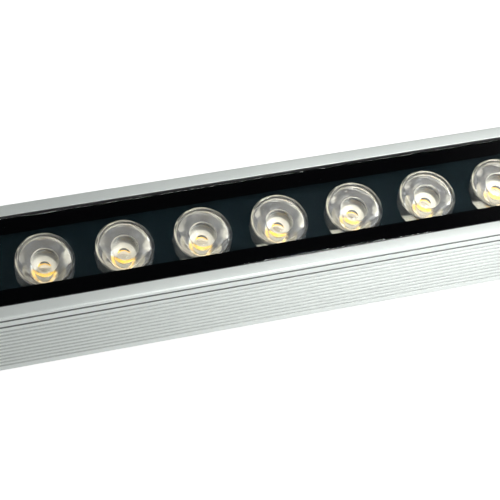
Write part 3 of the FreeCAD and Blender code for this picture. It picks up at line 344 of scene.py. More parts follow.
def start_material(name: str) -> tuple[Material, Bench, Node]:
    """Start a material with a Principled shader at its output.

    Returns:
        The material, its bench and its shader.
    """
    material = bpy.data.materials.new(name)
    material.use_nodes = True
    bench = Bench(material.node_tree)
    shader = bench.add("ShaderNodeBsdfPrincipled")
    bench.wire(shader, bench.add("ShaderNodeOutputMaterial"), Surface="BSDF")
    return material, bench, shader


def add_bump(bench: Bench, shader: Node, height: Socket, depth: float) -> None:
    """Drive the shader's normal from a height, whose depth is in metres."""
    bump = bench.add("ShaderNodeBump")
    bench.fill(bump, Distance=depth, Height=height)
    bench.wire(bump, shader, Normal="Normal")


@dataclass(frozen=True)
class MetalFinish:
    """Metal with drawn or blasted grain, rubbed edges, thin dust and painted shade that darkens its crevices.
    """

    name: str
    body: Colour
    edge: Colour
    roughness: float
    metallic: float
    grain_scale: float
    along_x: float = 1.0
    depth: float = mm(0.02)
    contrast: float = 0.12
    dust: float = 0.05
    # painted shade: how strongly crevices darken the colour, and the share of the body colour left where the
    # shade is full
    crevice: float = 2.0
    painted_crevice_shade_share: float = 0.28
    wear_radius: float = mm(0.3)
    wear_share: float = 0.7
    wear_polish: float = 0.1
    rough_span: float = 0.16
    smear_span: float = 0.05
    dust_tone: Colour = colour(176, 172, 164)

    def build(self) -> Material:
        """Build the material.

        Returns:
            The material.
        """
        material, bench, shader = start_material(self.name)
        grain = Effect.GRAIN.place(bench, Scale=self.grain_scale, Along_X=self.along_x)
        wear = Effect.EDGE_WEAR.place(bench, Radius=self.wear_radius).outputs["Wear"]
        dust = Effect.DUST.place(bench, Amount=self.dust)
        # painted shade for grooves, flutes and inner corners
        crevice = Effect.CREVICE.place(bench, Gain=self.crevice)
        shade = grain.outputs["Shade"]
        grained = bench.mix(shade, darker(self.body, 1.0 - self.contrast), self.body)
        rubbed = bench.mix(bench.times(wear, self.wear_share), grained, self.edge)
        dusty = bench.mix(dust.outputs["Dust"], rubbed, self.dust_tone)
        # painted shade: the colour darkens towards this tone where the crevice mask is high
        deep = darker(self.body, self.painted_crevice_shade_share)
        base = bench.mix(crevice.outputs["Mask"], dusty, deep)
        rough = bench.plus(bench.times(shade, self.rough_span),
                           self.roughness - self.rough_span / 2)
        smeared = bench.plus(rough, bench.times(dust.outputs["Smear"], self.smear_span))
        polished = bench.math("SUBTRACT", smeared, bench.times(wear, self.wear_polish))
        bench.fill(shader, Base_Color=base, Roughness=polished, Metallic=self.metallic)
        add_bump(bench, shader, grain.outputs["Height"], self.depth)
        return material


@dataclass(frozen=True)
class GlassFinish:
    """Clear glass or clear moulded plastic, with faint smears."""

    name: str
    tint: Colour
    bend: float
    roughness: float
    smear: float
    haze: float = 0.0
    dust: float = 0.1
    dust_scale: float = 60.0
    smear_light: float = 0.97

    def build(self) -> Material:
        """Build the material, which lets the lamps' rays through to what lies behind it.

        Returns:
            The material.
        """
        material, bench, shader = start_material(self.name)
        clear = bench.add("ShaderNodeBsdfTransparent")
        choice = bench.add("ShaderNodeMixShader")
        bench.wire(bench.add("ShaderNodeLightPath"), choice, Fac="Is Shadow Ray")
        for node, socket in ((shader, choice.inputs[1]), (clear, choice.inputs[2])):
            bench.join(node.outputs["BSDF"], socket)
        output = next(node for node in bench.tree.nodes if node.type == "OUTPUT_MATERIAL")
        bench.wire(choice, output, Surface="Shader")
        smear = Effect.DUST.place(bench, Amount=self.dust, Scale=self.dust_scale).outputs["Smear"]
        tint = bench.mix(smear, self.tint, darker(self.tint, self.smear_light))
        rough = bench.plus(bench.times(smear, self.smear), self.roughness)
        bench.fill(shader, Base_Color=tint, Roughness=rough, IOR=self.bend)
        shader.inputs["Transmission Weight"].default_value = 1.0 - self.haze
        return material


@dataclass(frozen=True)
class MouldedFinish:
    """Moulded plastic, rubber, print or ceramic: a grained body colour with soft mottling and dust."""

    name: str
    body: Colour
    mottle: Colour
    roughness: float
    grain_scale: float
    depth: float = mm(0.03)
    coat: float = 0.0
    under: float = 0.0
    under_reach: float = mm(4.0)
    dust: float = 0.05
    specular: float = 0.5
    rough_span: float = 0.12
    dust_tone: Colour = colour(150, 148, 142)

    def build(self) -> Material:
        """Build the material.

        Returns:
            The material.
        """
        material, bench, shader = start_material(self.name)
        grain = Effect.GRAIN.place(bench, Scale=self.grain_scale)
        dust = Effect.DUST.place(bench, Amount=self.dust)
        mottled = bench.mix(grain.outputs["Shade"], self.body, self.mottle)
        dusty = bench.mix(dust.outputs["Dust"], mottled, self.dust_tone)
        rough = bench.plus(bench.times(dust.outputs["Smear"], self.rough_span),
                           self.roughness - self.rough_span / 2)
        bench.fill(shader, Base_Color=dusty, Roughness=rough, Coat_Weight=self.coat,
                   Specular_IOR_Level=self.specular)
        if self.under:
            bench.fill(shader, Subsurface_Weight=self.under, Subsurface_Radius=(self.under_reach,) * 3,
                       Subsurface_Scale=1.0)
        add_bump(bench, shader, grain.outputs["Height"], self.depth)
        return material


@dataclass(frozen=True)
class PhosphorFinish:
    """The LED's yellow phosphor in its clear dome, with a warmer middle and a painted glow that brightens its
    yellow.
    """

    name: str
    middle: Colour
    rim: Colour
    # strength of the painted glow
    glow: float
    pitch: float
    first: float
    rim_span: Point = (mm(2.1), mm(2.5))
    grain_scale: float = 4000.0
    speckle: float = 0.25
    speckle_tone: Colour = colour(190, 120, 10)
    coat: float = 0.6
    roughness: float = 0.3
    rough_span: float = 0.2

    def build(self) -> Material:
        """Build the material.

        Returns:
            The material.
        """
        material, bench, shader = start_material(self.name)
        place = bench.add("ShaderNodeSeparateXYZ")
        bench.join(bench.add("ShaderNodeTexCoord").outputs["Object"], place.inputs[0])
        cycle = bench.math("DIVIDE", bench.math("SUBTRACT", place.outputs["X"], self.first), self.pitch)
        offset = bench.times(bench.math("SUBTRACT", cycle, bench.math("ROUND", cycle)), self.pitch)
        across = bench.times(place.outputs["Y"], place.outputs["Y"])
        span = bench.math("SQRT", bench.plus(bench.times(offset, offset), across))
        shade = Effect.GRAIN.place(bench, Scale=self.grain_scale).outputs["Shade"]
        tone = bench.mix(bench.ramp(span, *self.rim_span), self.middle, self.rim)
        deep = bench.mix(bench.times(shade, self.speckle), tone, self.speckle_tone)
        rough = bench.plus(bench.times(shade, self.rough_span), self.roughness)
        # painted glow: the phosphor's colour is also emitted, to brighten it
        bench.fill(shader, Base_Color=deep, Emission_Color=deep, Emission_Strength=self.glow,
                   Coat_Weight=self.coat, Roughness=rough)
        return material


# ---------------------------------------------------------------- mesh makers
def shade_by_angle(mesh: Mesh, degrees: float = 32.0) -> None:
    """Shade a mesh smooth except over edges sharper than an angle."""
    mesh.polygons.foreach_set("use_smooth", [True] * len(mesh.polygons))
    mesh.set_sharp_from_angle(angle=math.radians(degrees))
    mesh.update()


def settle(work: bmesh.types.BMesh, mesh: Mesh) -> None:
    """Merge a bmesh's doubles, turn its faces outwards and put it into a mesh."""
    bmesh.ops.remove_doubles(work, verts=work.verts, dist=MERGE_DISTANCE)
    bmesh.ops.recalc_face_normals(work, faces=work.faces)
    work.to_mesh(mesh)
    work.free()


def mesh_of(name: str, build: Callable[[bmesh.types.BMesh], None]) -> Mesh:
    """Build a mesh with bmesh, its doubles merged and its faces outwards.

    Args:
        name: The mesh's name.
        build: Fills the bmesh.

    Returns:
        The mesh.
    """
    work = bmesh.new()
    build(work)
    mesh = bpy.data.meshes.new(name)
    settle(work, mesh)
    return mesh


def arc_points(centre: Point, radii: Point, first: float, last: float, steps: int) -> list[Point]:
    """Return points on an arc of an ellipse.

    Args:
        centre: Its centre.
        radii: Its radius across and up.
        first: The arc's first angle, in degrees.
        last: Its last angle.
        steps: Pieces of the arc.

    Returns:
        The points, both ends included.
    """
    points = []
    for step in range(steps + 1):
        angle = math.radians(first + (last - first) * step / steps)
        points.append((centre[0] + radii[0] * math.cos(angle), centre[1] + radii[1] * math.sin(angle)))
    return points


def ring_of(radius: float, count: int, centre: Point = (0.0, 0.0)) -> list[Point]:
    """Return points on a circle."""
    return arc_points(centre, (radius, radius), 0.0, 360.0, count)[:-1]


def box_outline(half_length: float, half_width: float) -> list[Point]:
    """Return a rectangle about the origin."""
    return [(-half_length, -half_width), (half_length, -half_width), (half_length, half_width),
            (-half_length, half_width)]


def round_corners(points: Sequence[Corner], steps: int = 4) -> list[Point]:
    """Round the corners of a closed outline.

    Args:
        points: Corners as (across, up, radius).
        steps: Pieces of each rounding.

    Returns:
        The rounded outline.
    """
    outline: list[Point] = []
    for index, (across, up, radius) in enumerate(points):
        here = Vector((across, up))
        if radius <= 0.0:
            outline.append((across, up))
            continue
        back = Vector(points[index - 1][:2]) - here
        on = Vector(points[(index + 1) % len(points)][:2]) - here
        angle = back.angle(on)
        reach = min(radius / math.tan(angle / 2), back.length * 0.49, on.length * 0.49)
        start, end = here + back.normalized() * reach, here + on.normalized() * reach
        for step in range(steps + 1):
            share = step / steps
            spot = start.lerp(here, share).lerp(here.lerp(end, share), share)
            outline.append((spot.x, spot.y))
    return outline


def lathe(name: str, profile: Sequence[Point], segments: int = 64) -> Mesh:
    """Turn a closed profile (radius, height) about Z.

    Args:
        name: The mesh's name.
        profile: The closed profile. Points on the axis are merged.
        segments: Steps round the axis.

    Returns:
        The mesh.
    """
    def build(work: bmesh.types.BMesh) -> None:
        """Lay the rings and join them."""
        rings = []
        for radius, height in profile:
            if radius <= MERGE_DISTANCE:
                rings.append([work.verts.new((0.0, 0.0, height))] * segments)
            else:
                rings.append([work.verts.new((*spot, height)) for spot in ring_of(radius, segments)])
        for low, high in zip(rings, rings[1:] + rings[:1]):
            for step in range(segments):
                after = (step + 1) % segments
                corners = [low[step], low[after], high[after], high[step]]
                face = list(dict.fromkeys(corners))
                if len(face) > 2:
                    work.faces.new(face)

    return mesh_of(name, build)


def draw_outlines(name: str, loops: Iterable[Sequence[Point]]) -> bpy.types.Curve:
    """Draw closed outlines as one flat curve.

    Returns:
        The curve.
    """
    curve = bpy.data.curves.new(name, "CURVE")
    curve.dimensions = "2D"
    for loop in loops:
        spline = curve.splines.new("POLY")
        spline.points.add(len(loop) - 1)
        for point, spot in zip(spline.points, loop):
            point.co = (*spot, 0.0, 1.0)
        spline.use_cyclic_u = True
    return curve


def add_object(name: str, shape: bpy.types.ID) -> Object:
    """Put a mesh or curve in the scene as an object at the origin."""
    piece = bpy.data.objects.new(name, shape)
    bpy.context.scene.collection.objects.link(piece)
    return piece


def take_mesh(holder: Object, name: str) -> Mesh:
    """Keep an object's evaluated shape as a plain mesh and remove the object.

    Returns:
        The mesh.
    """
    mesh = bpy.data.meshes.new_from_object(holder.evaluated_get(bpy.context.evaluated_depsgraph_get()))
    bpy.data.batch_remove((holder, holder.data))
    mesh.name = name
    return mesh


def prism(name: str, outline: Sequence[Point], low: float, high: float, break_edge: float = 0.0,
          holes: Sequence[Sequence[Point]] = ()) -> Mesh:
    """Make a plate from an outline, its rims broken by a small bevel.

    Args:
        name: The mesh's name.
        outline: The outline in X and Y.
        low: Height of its underside.
        high: Height of its top.
        break_edge: Width of the bevel round both rims.
        holes: Outlines of holes through it.

    Returns:
        The mesh.
    """
    curve = draw_outlines(name, (outline, *holes))
    curve.fill_mode = "BOTH"
    curve.extrude = (high - low) / 2 - break_edge
    curve.bevel_depth = break_edge
    curve.bevel_resolution = 2
    curve.offset = -break_edge
    mesh = take_mesh(add_object(name, curve), name)
    mesh.transform(Matrix.Translation((0.0, 0.0, (low + high) / 2)))
    work = bmesh.new()
    work.from_mesh(mesh)
    settle(work, mesh)
    return mesh


def merge_meshes(name: str, meshes: Iterable[Mesh]) -> Mesh:
    """Join meshes into one.

    Returns:
        The joined mesh.
    """
    work = bmesh.new()
    for mesh in meshes:
        work.from_mesh(mesh)
    joined = bpy.data.meshes.new(name)
    work.to_mesh(joined)
    work.free()
    return joined


# ---------------------------------------------------------------- geometry nodes
def start_geometry_tree(name: str, inputs: Sequence[tuple[str, str]]) -> tuple[Bench, Node]:
    """Start a geometry node tree with a geometry input and output.

    Args:
        name: The tree's name.
        inputs: Names and socket types of its other inputs.

    Returns:
        Its bench and its input node.
    """
    tree = bpy.data.node_groups.new(name, "GeometryNodeTree")
    tree.interface.new_socket("Shape", in_out="INPUT", socket_type="NodeSocketGeometry")
    for label, kind in inputs:
        tree.interface.new_socket(label, in_out="INPUT", socket_type=kind)
    tree.interface.new_socket("Result", in_out="OUTPUT", socket_type="NodeSocketGeometry")
    bench = Bench(tree)
    return bench, bench.add("NodeGroupInput")


def end_geometry_tree(bench: Bench, given: Node,
                      shape: Socket) -> Tree:
    """End a tree in Realize Instances and Set Material.

    Returns:
        The finished tree.
    """
    real = bench.add("GeometryNodeRealizeInstances")
    bench.fill(real, Geometry=shape)
    dressed = bench.add("GeometryNodeSetMaterial")
    bench.wire(real, dressed, Geometry="Geometry")
    bench.wire(given, dressed, Material="Finish")
    bench.wire(dressed, bench.add("NodeGroupOutput"), Result="Geometry")
    return bench.tree


def end_in_copies(bench: Bench, given: Node, places: Socket) -> Tree:
    """Copy the given shape onto places and end the tree.

    Returns:
        The finished tree.
    """
    copies = bench.add("GeometryNodeInstanceOnPoints")
    bench.fill(copies, Points=places)
    bench.wire(given, copies, Instance="Shape")
    return end_geometry_tree(bench, given, copies.outputs["Instances"])


@lru_cache(maxsize=None)
def row_tree() -> Tree:
    """Build the tree that repeats a shape in a straight row.

    Returns:
        The tree.
    """
    bench, given = start_geometry_tree("straight_row", [
        ("Count", "NodeSocketInt"), ("Start", "NodeSocketVector"), ("Step", "NodeSocketVector"),
        ("Finish", "NodeSocketMaterial")])
    line = bench.add("GeometryNodeMeshLine", mode="OFFSET")
    bench.wire(given, line, Count="Count", Start_Location="Start", Offset="Step")
    return end_in_copies(bench, given, line.outputs["Mesh"])


@lru_cache(maxsize=None)
def grid_tree() -> Tree:
    """Build the tree that repeats a shape on the corners of a rectangle about a centre.

    Returns:
        The tree.
    """
    bench, given = start_geometry_tree("corner_places", [
        ("Size X", "NodeSocketFloat"), ("Size Y", "NodeSocketFloat"), ("Centre", "NodeSocketVector"),
        ("Finish", "NodeSocketMaterial")])
    grid = bench.add("GeometryNodeMeshGrid")
    bench.fill(grid, Vertices_X=2, Vertices_Y=2)
    bench.wire(given, grid, Size_X="Size X", Size_Y="Size Y")
    moved = bench.add("GeometryNodeTransform")
    bench.wire(grid, moved, Geometry="Mesh")
    bench.wire(given, moved, Translation="Centre")
    return end_in_copies(bench, given, moved.outputs["Geometry"])


@lru_cache(maxsize=None)
def extrusion_tree() -> Tree:
    """Build the tree that fills a section, holes left open, and draws it out along Z.

    Returns:
        The tree.
    """
    bench, given = start_geometry_tree("drawn_section", [
        ("Length", "NodeSocketFloat"), ("Finish", "NodeSocketMaterial")])
    filled = bench.add("GeometryNodeFillCurve")
    bench.wire(given, filled, Curve="Shape")
    drawn = bench.add("GeometryNodeExtrudeMesh", mode="FACES")
    bench.fill(drawn, Individual=False)
    bench.wire(filled, drawn, Mesh="Mesh")
    bench.wire(given, drawn, Offset_Scale="Length")
    under = bench.add("GeometryNodeFlipFaces")
    bench.wire(filled, under, Mesh="Mesh")
    whole = bench.add("GeometryNodeJoinGeometry")
    bench.wire(drawn, whole, Geometry="Mesh")
    bench.wire(under, whole, Geometry="Mesh")
    merged = bench.add("GeometryNodeMergeByDistance")
    bench.fill(merged, Distance=MERGE_DISTANCE * 10)
    bench.wire(whole, merged, Geometry="Geometry")
    return end_geometry_tree(bench, given, merged.outputs["Geometry"])


def grow(name: str, source: bpy.types.ID, tree: Tree, **values: object) -> Mesh:
    """Run a geometry node tree on a mesh or curve and keep the result as a plain mesh.

    Args:
        name: Name of the result.
        source: The mesh or curve it starts from.
        tree: The tree.
        values: The tree's inputs, with _ for a space.

    Returns:
        The plain mesh.
    """
    holder = add_object(name, source)
    modifier = holder.modifiers.new("grow", "NODES")
    modifier.node_group = tree
    sockets = {item.name: item.identifier for item in tree.interface.items_tree if item.in_out == "INPUT"}
    for label, value in values.items():
        modifier[sockets[label.replace("_", " ")]] = value
    return take_mesh(holder, name)


# ---------------------------------------------------------------- shared sizes and finishes
@dataclass(frozen=True)
class BarSizes:
    """Sizes that several sub-assemblies share, in metres. Depths are below the front plane."""

    half_length: float = mm(242.5)
    half_width: float = mm(23.0)
    front: float = mm(86.05)
    depth: float = mm(46.0)
    lip: float = mm(4.7)
    lens_count: int = 16
    pitch: float = mm(30.0)
    board_depth: float = mm(18.5)
    cap_start: float = mm(244.0)
    cap_face: float = mm(250.0)
    boss_side: float = mm(18.6)
    boss_depths: tuple[float, float] = (mm(6.3), mm(41.6))
    entry_depth: float = mm(29.6)

    @property
    def first_lens(self) -> float:
        """Return the first lens's place along the bar."""
        return -self.pitch * (self.lens_count - 1) / 2

    def height(self, depth: float) -> float:
        """Return the height above the ground of a depth below the front."""
        return self.front - depth


class Finishes:
    """Builds each finish once and hands it out by name."""

    def __init__(self, sizes: BarSizes) -> None:
        """Take the sizes that one finish follows."""
        silver = colour(222, 228, 224)
        # the anodised extrusion gets strong painted shade in its flutes and grooves
        self.anodised = MetalFinish(
            "anodised_aluminium", silver, colour(236, 240, 237), 0.42, 0.40, 1400.0, along_x=0.02,
            depth=mm(0.012), contrast=0.06, dust=0.03, crevice=10.0).build()
        self.cap_metal = MetalFinish("blasted_aluminium", silver, colour(238, 240, 238), 0.44, 0.40, 2600.0,
                                     contrast=0.06, dust=0.04).build()
        self.steel = MetalFinish("brushed_stainless", colour(196, 197, 196), colour(228, 229, 228), 0.30, 1.0,
                                 1100.0, along_x=0.05, contrast=0.14).build()
        self.bolt_steel = MetalFinish("bolt_stainless", colour(202, 202, 200), colour(234, 234, 232), 0.24,
                                      1.0, 2400.0, depth=mm(0.01), contrast=0.10, dust=0.04).build()
        self.nickel = MetalFinish("nickel_plate", colour(206, 202, 192), colour(226, 206, 160), 0.20, 1.0,
                                  1800.0, depth=mm(0.01), contrast=0.08).build()
        self.glass = GlassFinish("toughened_glass", (0.975, 0.99, 0.985, 1.0), 1.5, 0.0, 0.01).build()
        self.lens = GlassFinish("clear_lens", (0.97, 0.975, 0.98, 1.0), 1.49, 0.0, 0.015, haze=0.045).build()
        self.holder = GlassFinish("clear_holder", (0.93, 0.95, 0.96, 1.0), 1.4, 0.04, 0.04, haze=0.03).build()
        self.print = MouldedFinish("black_print", colour(3, 3, 4), colour(6, 6, 7), 0.6, 700.0,
                                   mm(0.005), dust=0.0, specular=0.0).build()
        self.plate = MouldedFinish("black_plate", colour(6, 15, 18), colour(10, 21, 25), 0.45, 1200.0,
                                   mm(0.02), dust=0.0, specular=0.08).build()
        self.silicone = MouldedFinish("black_silicone", colour(14, 14, 15), colour(24, 24, 25), 0.48, 500.0,
                                      mm(0.08), dust=0.06).build()
        self.rubber = MouldedFinish("black_rubber", colour(22, 22, 23), colour(34, 34, 35), 0.62, 1200.0,
                                    mm(0.06), dust=0.10).build()
        # the phosphor emits a painted glow of strength 1.2
        self.phosphor = PhosphorFinish("led_phosphor_painted_glow", colour(250, 196, 30), colour(252, 236, 170), 1.2,
                                       sizes.pitch, sizes.first_lens).build()
        self.board_white = MouldedFinish("white_solder_mask", colour(206, 200, 180), colour(218, 212, 194),
                                         0.35, 1600.0, mm(0.01), coat=0.2).build()
        self.board_green = MouldedFinish("green_solder_mask", colour(18, 92, 52), colour(26, 112, 64), 0.32,
                                         500.0, mm(0.02), coat=0.3).build()
        self.ferrite = MouldedFinish("ferrite", colour(52, 52, 55), colour(70, 70, 73), 0.6, 1800.0,
                                     mm(0.06)).build()
        self.chip = MouldedFinish("moulded_black", colour(26, 26, 28), colour(38, 38, 40), 0.55,
                                  2600.0).build()
        self.sleeve = MouldedFinish("capacitor_sleeve", colour(24, 34, 66), colour(34, 46, 84), 0.3, 800.0,
                                    mm(0.01), coat=0.2).build()
        self.terminal = MouldedFinish("grey_polyamide", colour(150, 154, 156), colour(168, 172, 174), 0.5,
                                      1600.0).build()
        self.wire = MouldedFinish("wire_insulation", colour(168, 34, 26), colour(196, 46, 34), 0.38,
                                  600.0).build()
        self.washer = MouldedFinish("white_nylon", colour(214, 212, 204), colour(228, 226, 220), 0.42, 1500.0,
                                    under=0.1).build()


def dress(material: Material, *nodes: str) -> None:
    """Give CAD nodes a finish."""
    for node in nodes:
        materials = frame["nodes"][node].data.materials
        materials.clear()
        materials.append(material)
        log.info("dressed %s as %s", node, material.name)


def set_piece(name: str, mesh: Mesh, body: str, nodes: Sequence[str],
              material: Optional[Material] = None) -> Object:
    """Put a finished mesh in the scene in place of CAD nodes.

    Args:
        name: The piece's name.
        mesh: Its mesh, in the row frame.
        body: The body it rides on.
        nodes: The nodes it stands for.
        material: Its finish, where the mesh has none yet.

    Returns:
        The piece.
    """
    piece = add_object(name, mesh)
    if material is not None:
        mesh.materials.clear()
        mesh.materials.append(material)
    shade_by_angle(mesh)
    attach(piece, body)
    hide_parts(*nodes)
    log.info("built %s on %s, %d faces", name, body, len(mesh.polygons))
    return piece


# ---------------------------------------------------------------- extrusion
@dataclass
class Extrusion:
    """The fluted square extrusion, with its glass channel, chambers, screw channels and T-slot."""

    sizes: BarSizes
    finishes: Finishes
    corner: float = mm(0.6)
    break_edge: float = mm(0.18)
    lip_edge: float = mm(0.144)
    wall: float = mm(2.7)
    ledge: float = mm(1.5)
    ledge_top: float = mm(3.3)
    web: tuple[float, float] = (mm(20.1), mm(22.6))
    bay_floor: float = mm(44.0)
    grooves: tuple[float, float] = (mm(2.75), mm(7.7))
    groove_half: float = mm(0.6)
    groove_cut: float = mm(1.5)
    flute_first: float = mm(11.6)
    flute_last: float = mm(41.35)
    flute_count: int = 11
    flute_half: float = mm(1.05)
    flute_cut: float = mm(0.35)
    flute_steps: int = 4
    slot_half: float = mm(5.5)
    slot_mouth: float = mm(3.2)
    slot_top: float = mm(39.2)
    slot_roof: float = mm(37.4)
    slot_outer: float = mm(7.3)
    rib_tops: tuple[float, ...] = (mm(10.8), mm(13.3), mm(32.4), mm(35.3))
    rib: tuple[float, float] = (mm(1.5), mm(1.1))
    boss: float = mm(3.0)
    bore: float = mm(1.7)
    gap_half: float = mm(0.8)

    def side_points(self) -> list[Corner]:
        """Return the right side's outside from the lip to the T-slot, as (across, depth, rounding)."""
        wide, deep, edge = self.sizes.half_width, self.sizes.depth, self.break_edge
        points = [(wide - self.sizes.lip, 0.0, self.lip_edge), (wide, 0.0, self.corner)]
        floor = wide - self.groove_cut
        for middle in self.grooves:
            top, bottom = middle - self.groove_half, middle + self.groove_half
            points += [(wide, top, edge), (floor, top, edge), (floor, bottom, edge), (wide, bottom, edge)]
        pitch = (self.flute_last - self.flute_first) / (self.flute_count - 1)
        for number in range(self.flute_count):
            middle = self.flute_first + pitch * number
            for step in range(-self.flute_steps, self.flute_steps + 1):
                share = step / self.flute_steps
                dip = self.flute_cut * 0.5 * (1 + math.cos(math.pi * share))
                points.append((wide - dip, middle + self.flute_half * share, 0.0))
        return points + [
            (wide, deep, self.corner), (self.slot_mouth, deep, edge), (self.slot_mouth, self.bay_floor, edge),
            (self.slot_half, self.bay_floor, edge), (self.slot_half, self.slot_top, edge)]

    def channel(self, depth: float, start: float, end: float) -> list[Corner]:
        """Return a screw channel's outline, open towards the middle of the bar.

        Args:
            depth: Depth of the channel's centre.
            start: Angle in degrees where the outline meets the piece, before the opening.
            end: The same after it.

        Returns:
            Its points as (across, depth, rounding).
        """
        side = self.sizes.boss_side
        lip = math.degrees(math.asin(self.gap_half / self.boss))
        throat = math.degrees(math.asin(self.gap_half / self.bore))

        def arc(radius: float, first: float, last: float, steps: int) -> list[Corner]:
            """Return unrounded points on a circle about the channel's centre."""
            return [(*spot, 0.0) for spot in arc_points((side, depth), (radius, radius), first, last, steps)]

        turn = 1 if end > start else -1
        opening = 180.0 * turn
        inside = arc(self.bore, opening - throat * turn, opening + (throat - 360.0) * turn, 18)
        return (arc(self.boss, start, opening - lip * turn, 6) + inside
                + arc(self.boss, opening + lip * turn, end, 4))

    def rib_points(self, top: float, wall: float, upward: bool) -> list[Corner]:
        """Return one guide rib on the right wall, passed upward or downward."""
        reach, thick = self.rib
        points = [(wall, top + thick, 0.0), (wall - reach, top + thick, self.break_edge),
                  (wall - reach, top, self.break_edge), (wall, top, 0.0)]
        return points if upward else points[::-1]

    def mirrored(self, half: Sequence[Corner]) -> list[Corner]:
        """Close a right half with its mirror image."""
        return list(half) + [(-across, depth, radius) for across, depth, radius in reversed(half)]

    def loops(self) -> list[list[Point]]:
        """Return the section's outer and inner outlines, as (across, height from the front)."""
        wall, edge = self.sizes.half_width - self.wall, self.break_edge
        shallow, deep = self.sizes.boss_depths
        meet = math.degrees(math.acos((wall - self.sizes.boss_side) / self.boss))
        tip = self.sizes.half_width - self.sizes.lip - self.ledge
        under = 360.0 - math.degrees(math.acos((tip - self.sizes.boss_side) / self.boss))
        chamber = [(wall, self.web[0], edge)]
        for top in reversed(self.rib_tops[:2]):
            chamber += self.rib_points(top, wall, upward=True)
        chamber += self.channel(shallow, meet, under)
        chamber += [(tip, self.ledge_top, edge), (tip + self.ledge, self.ledge_top, edge)]
        outer = self.mirrored(chamber + self.side_points())
        bay = [(wall, self.web[1], edge)]
        for top in self.rib_tops[2:]:
            bay += self.rib_points(top, wall, upward=False)
        foot = math.degrees(math.asin((self.bay_floor - deep) / self.boss))
        bay += self.channel(deep, -meet, -180.0 - foot)
        bay += [(self.slot_outer, self.bay_floor, edge), (self.slot_outer, self.slot_roof, edge)]
        inner = self.mirrored(bay)
        return [[(across, -depth) for across, depth in round_corners(loop)] for loop in (outer, inner)]

    def build(self) -> None:
        """Draw the section out along the bar and put it in place."""
        section = draw_outlines("section", self.loops())
        mesh = grow("extrusion", section, extrusion_tree(), Length=self.sizes.half_length * 2,
                    Finish=self.finishes.anodised)
        mesh.transform(Matrix(((0, 0, 1, -self.sizes.half_length), (1, 0, 0, 0), (0, 1, 0, self.sizes.front),
                               (0, 0, 0, 1))))
        set_piece("fluted_extrusion", mesh, "housing", ["housing_extrusion"])


# ---------------------------------------------------------------- front window
@dataclass
class FrontWindow:
    """The glass with its ground edges, the black border under it and the silicone round it."""

    sizes: BarSizes
    finishes: Finishes
    half_length: float = mm(242.1)
    half_width: float = mm(17.9)
    thickness: float = mm(3.0)
    ground_edge: float = mm(0.25)

    def build(self) -> None:
        """Build the glass and dress the print and the silicone."""
        outline = box_outline(self.half_length, self.half_width)
        front = self.sizes.front
        pane = prism("pane", outline, front - self.thickness, front, self.ground_edge)
        set_piece("glass_pane", pane, "housing", ["front_glass"], self.finishes.glass)
        dress(self.finishes.print, "glass_border_print")
        dress(self.finishes.silicone, "glass_sealant")


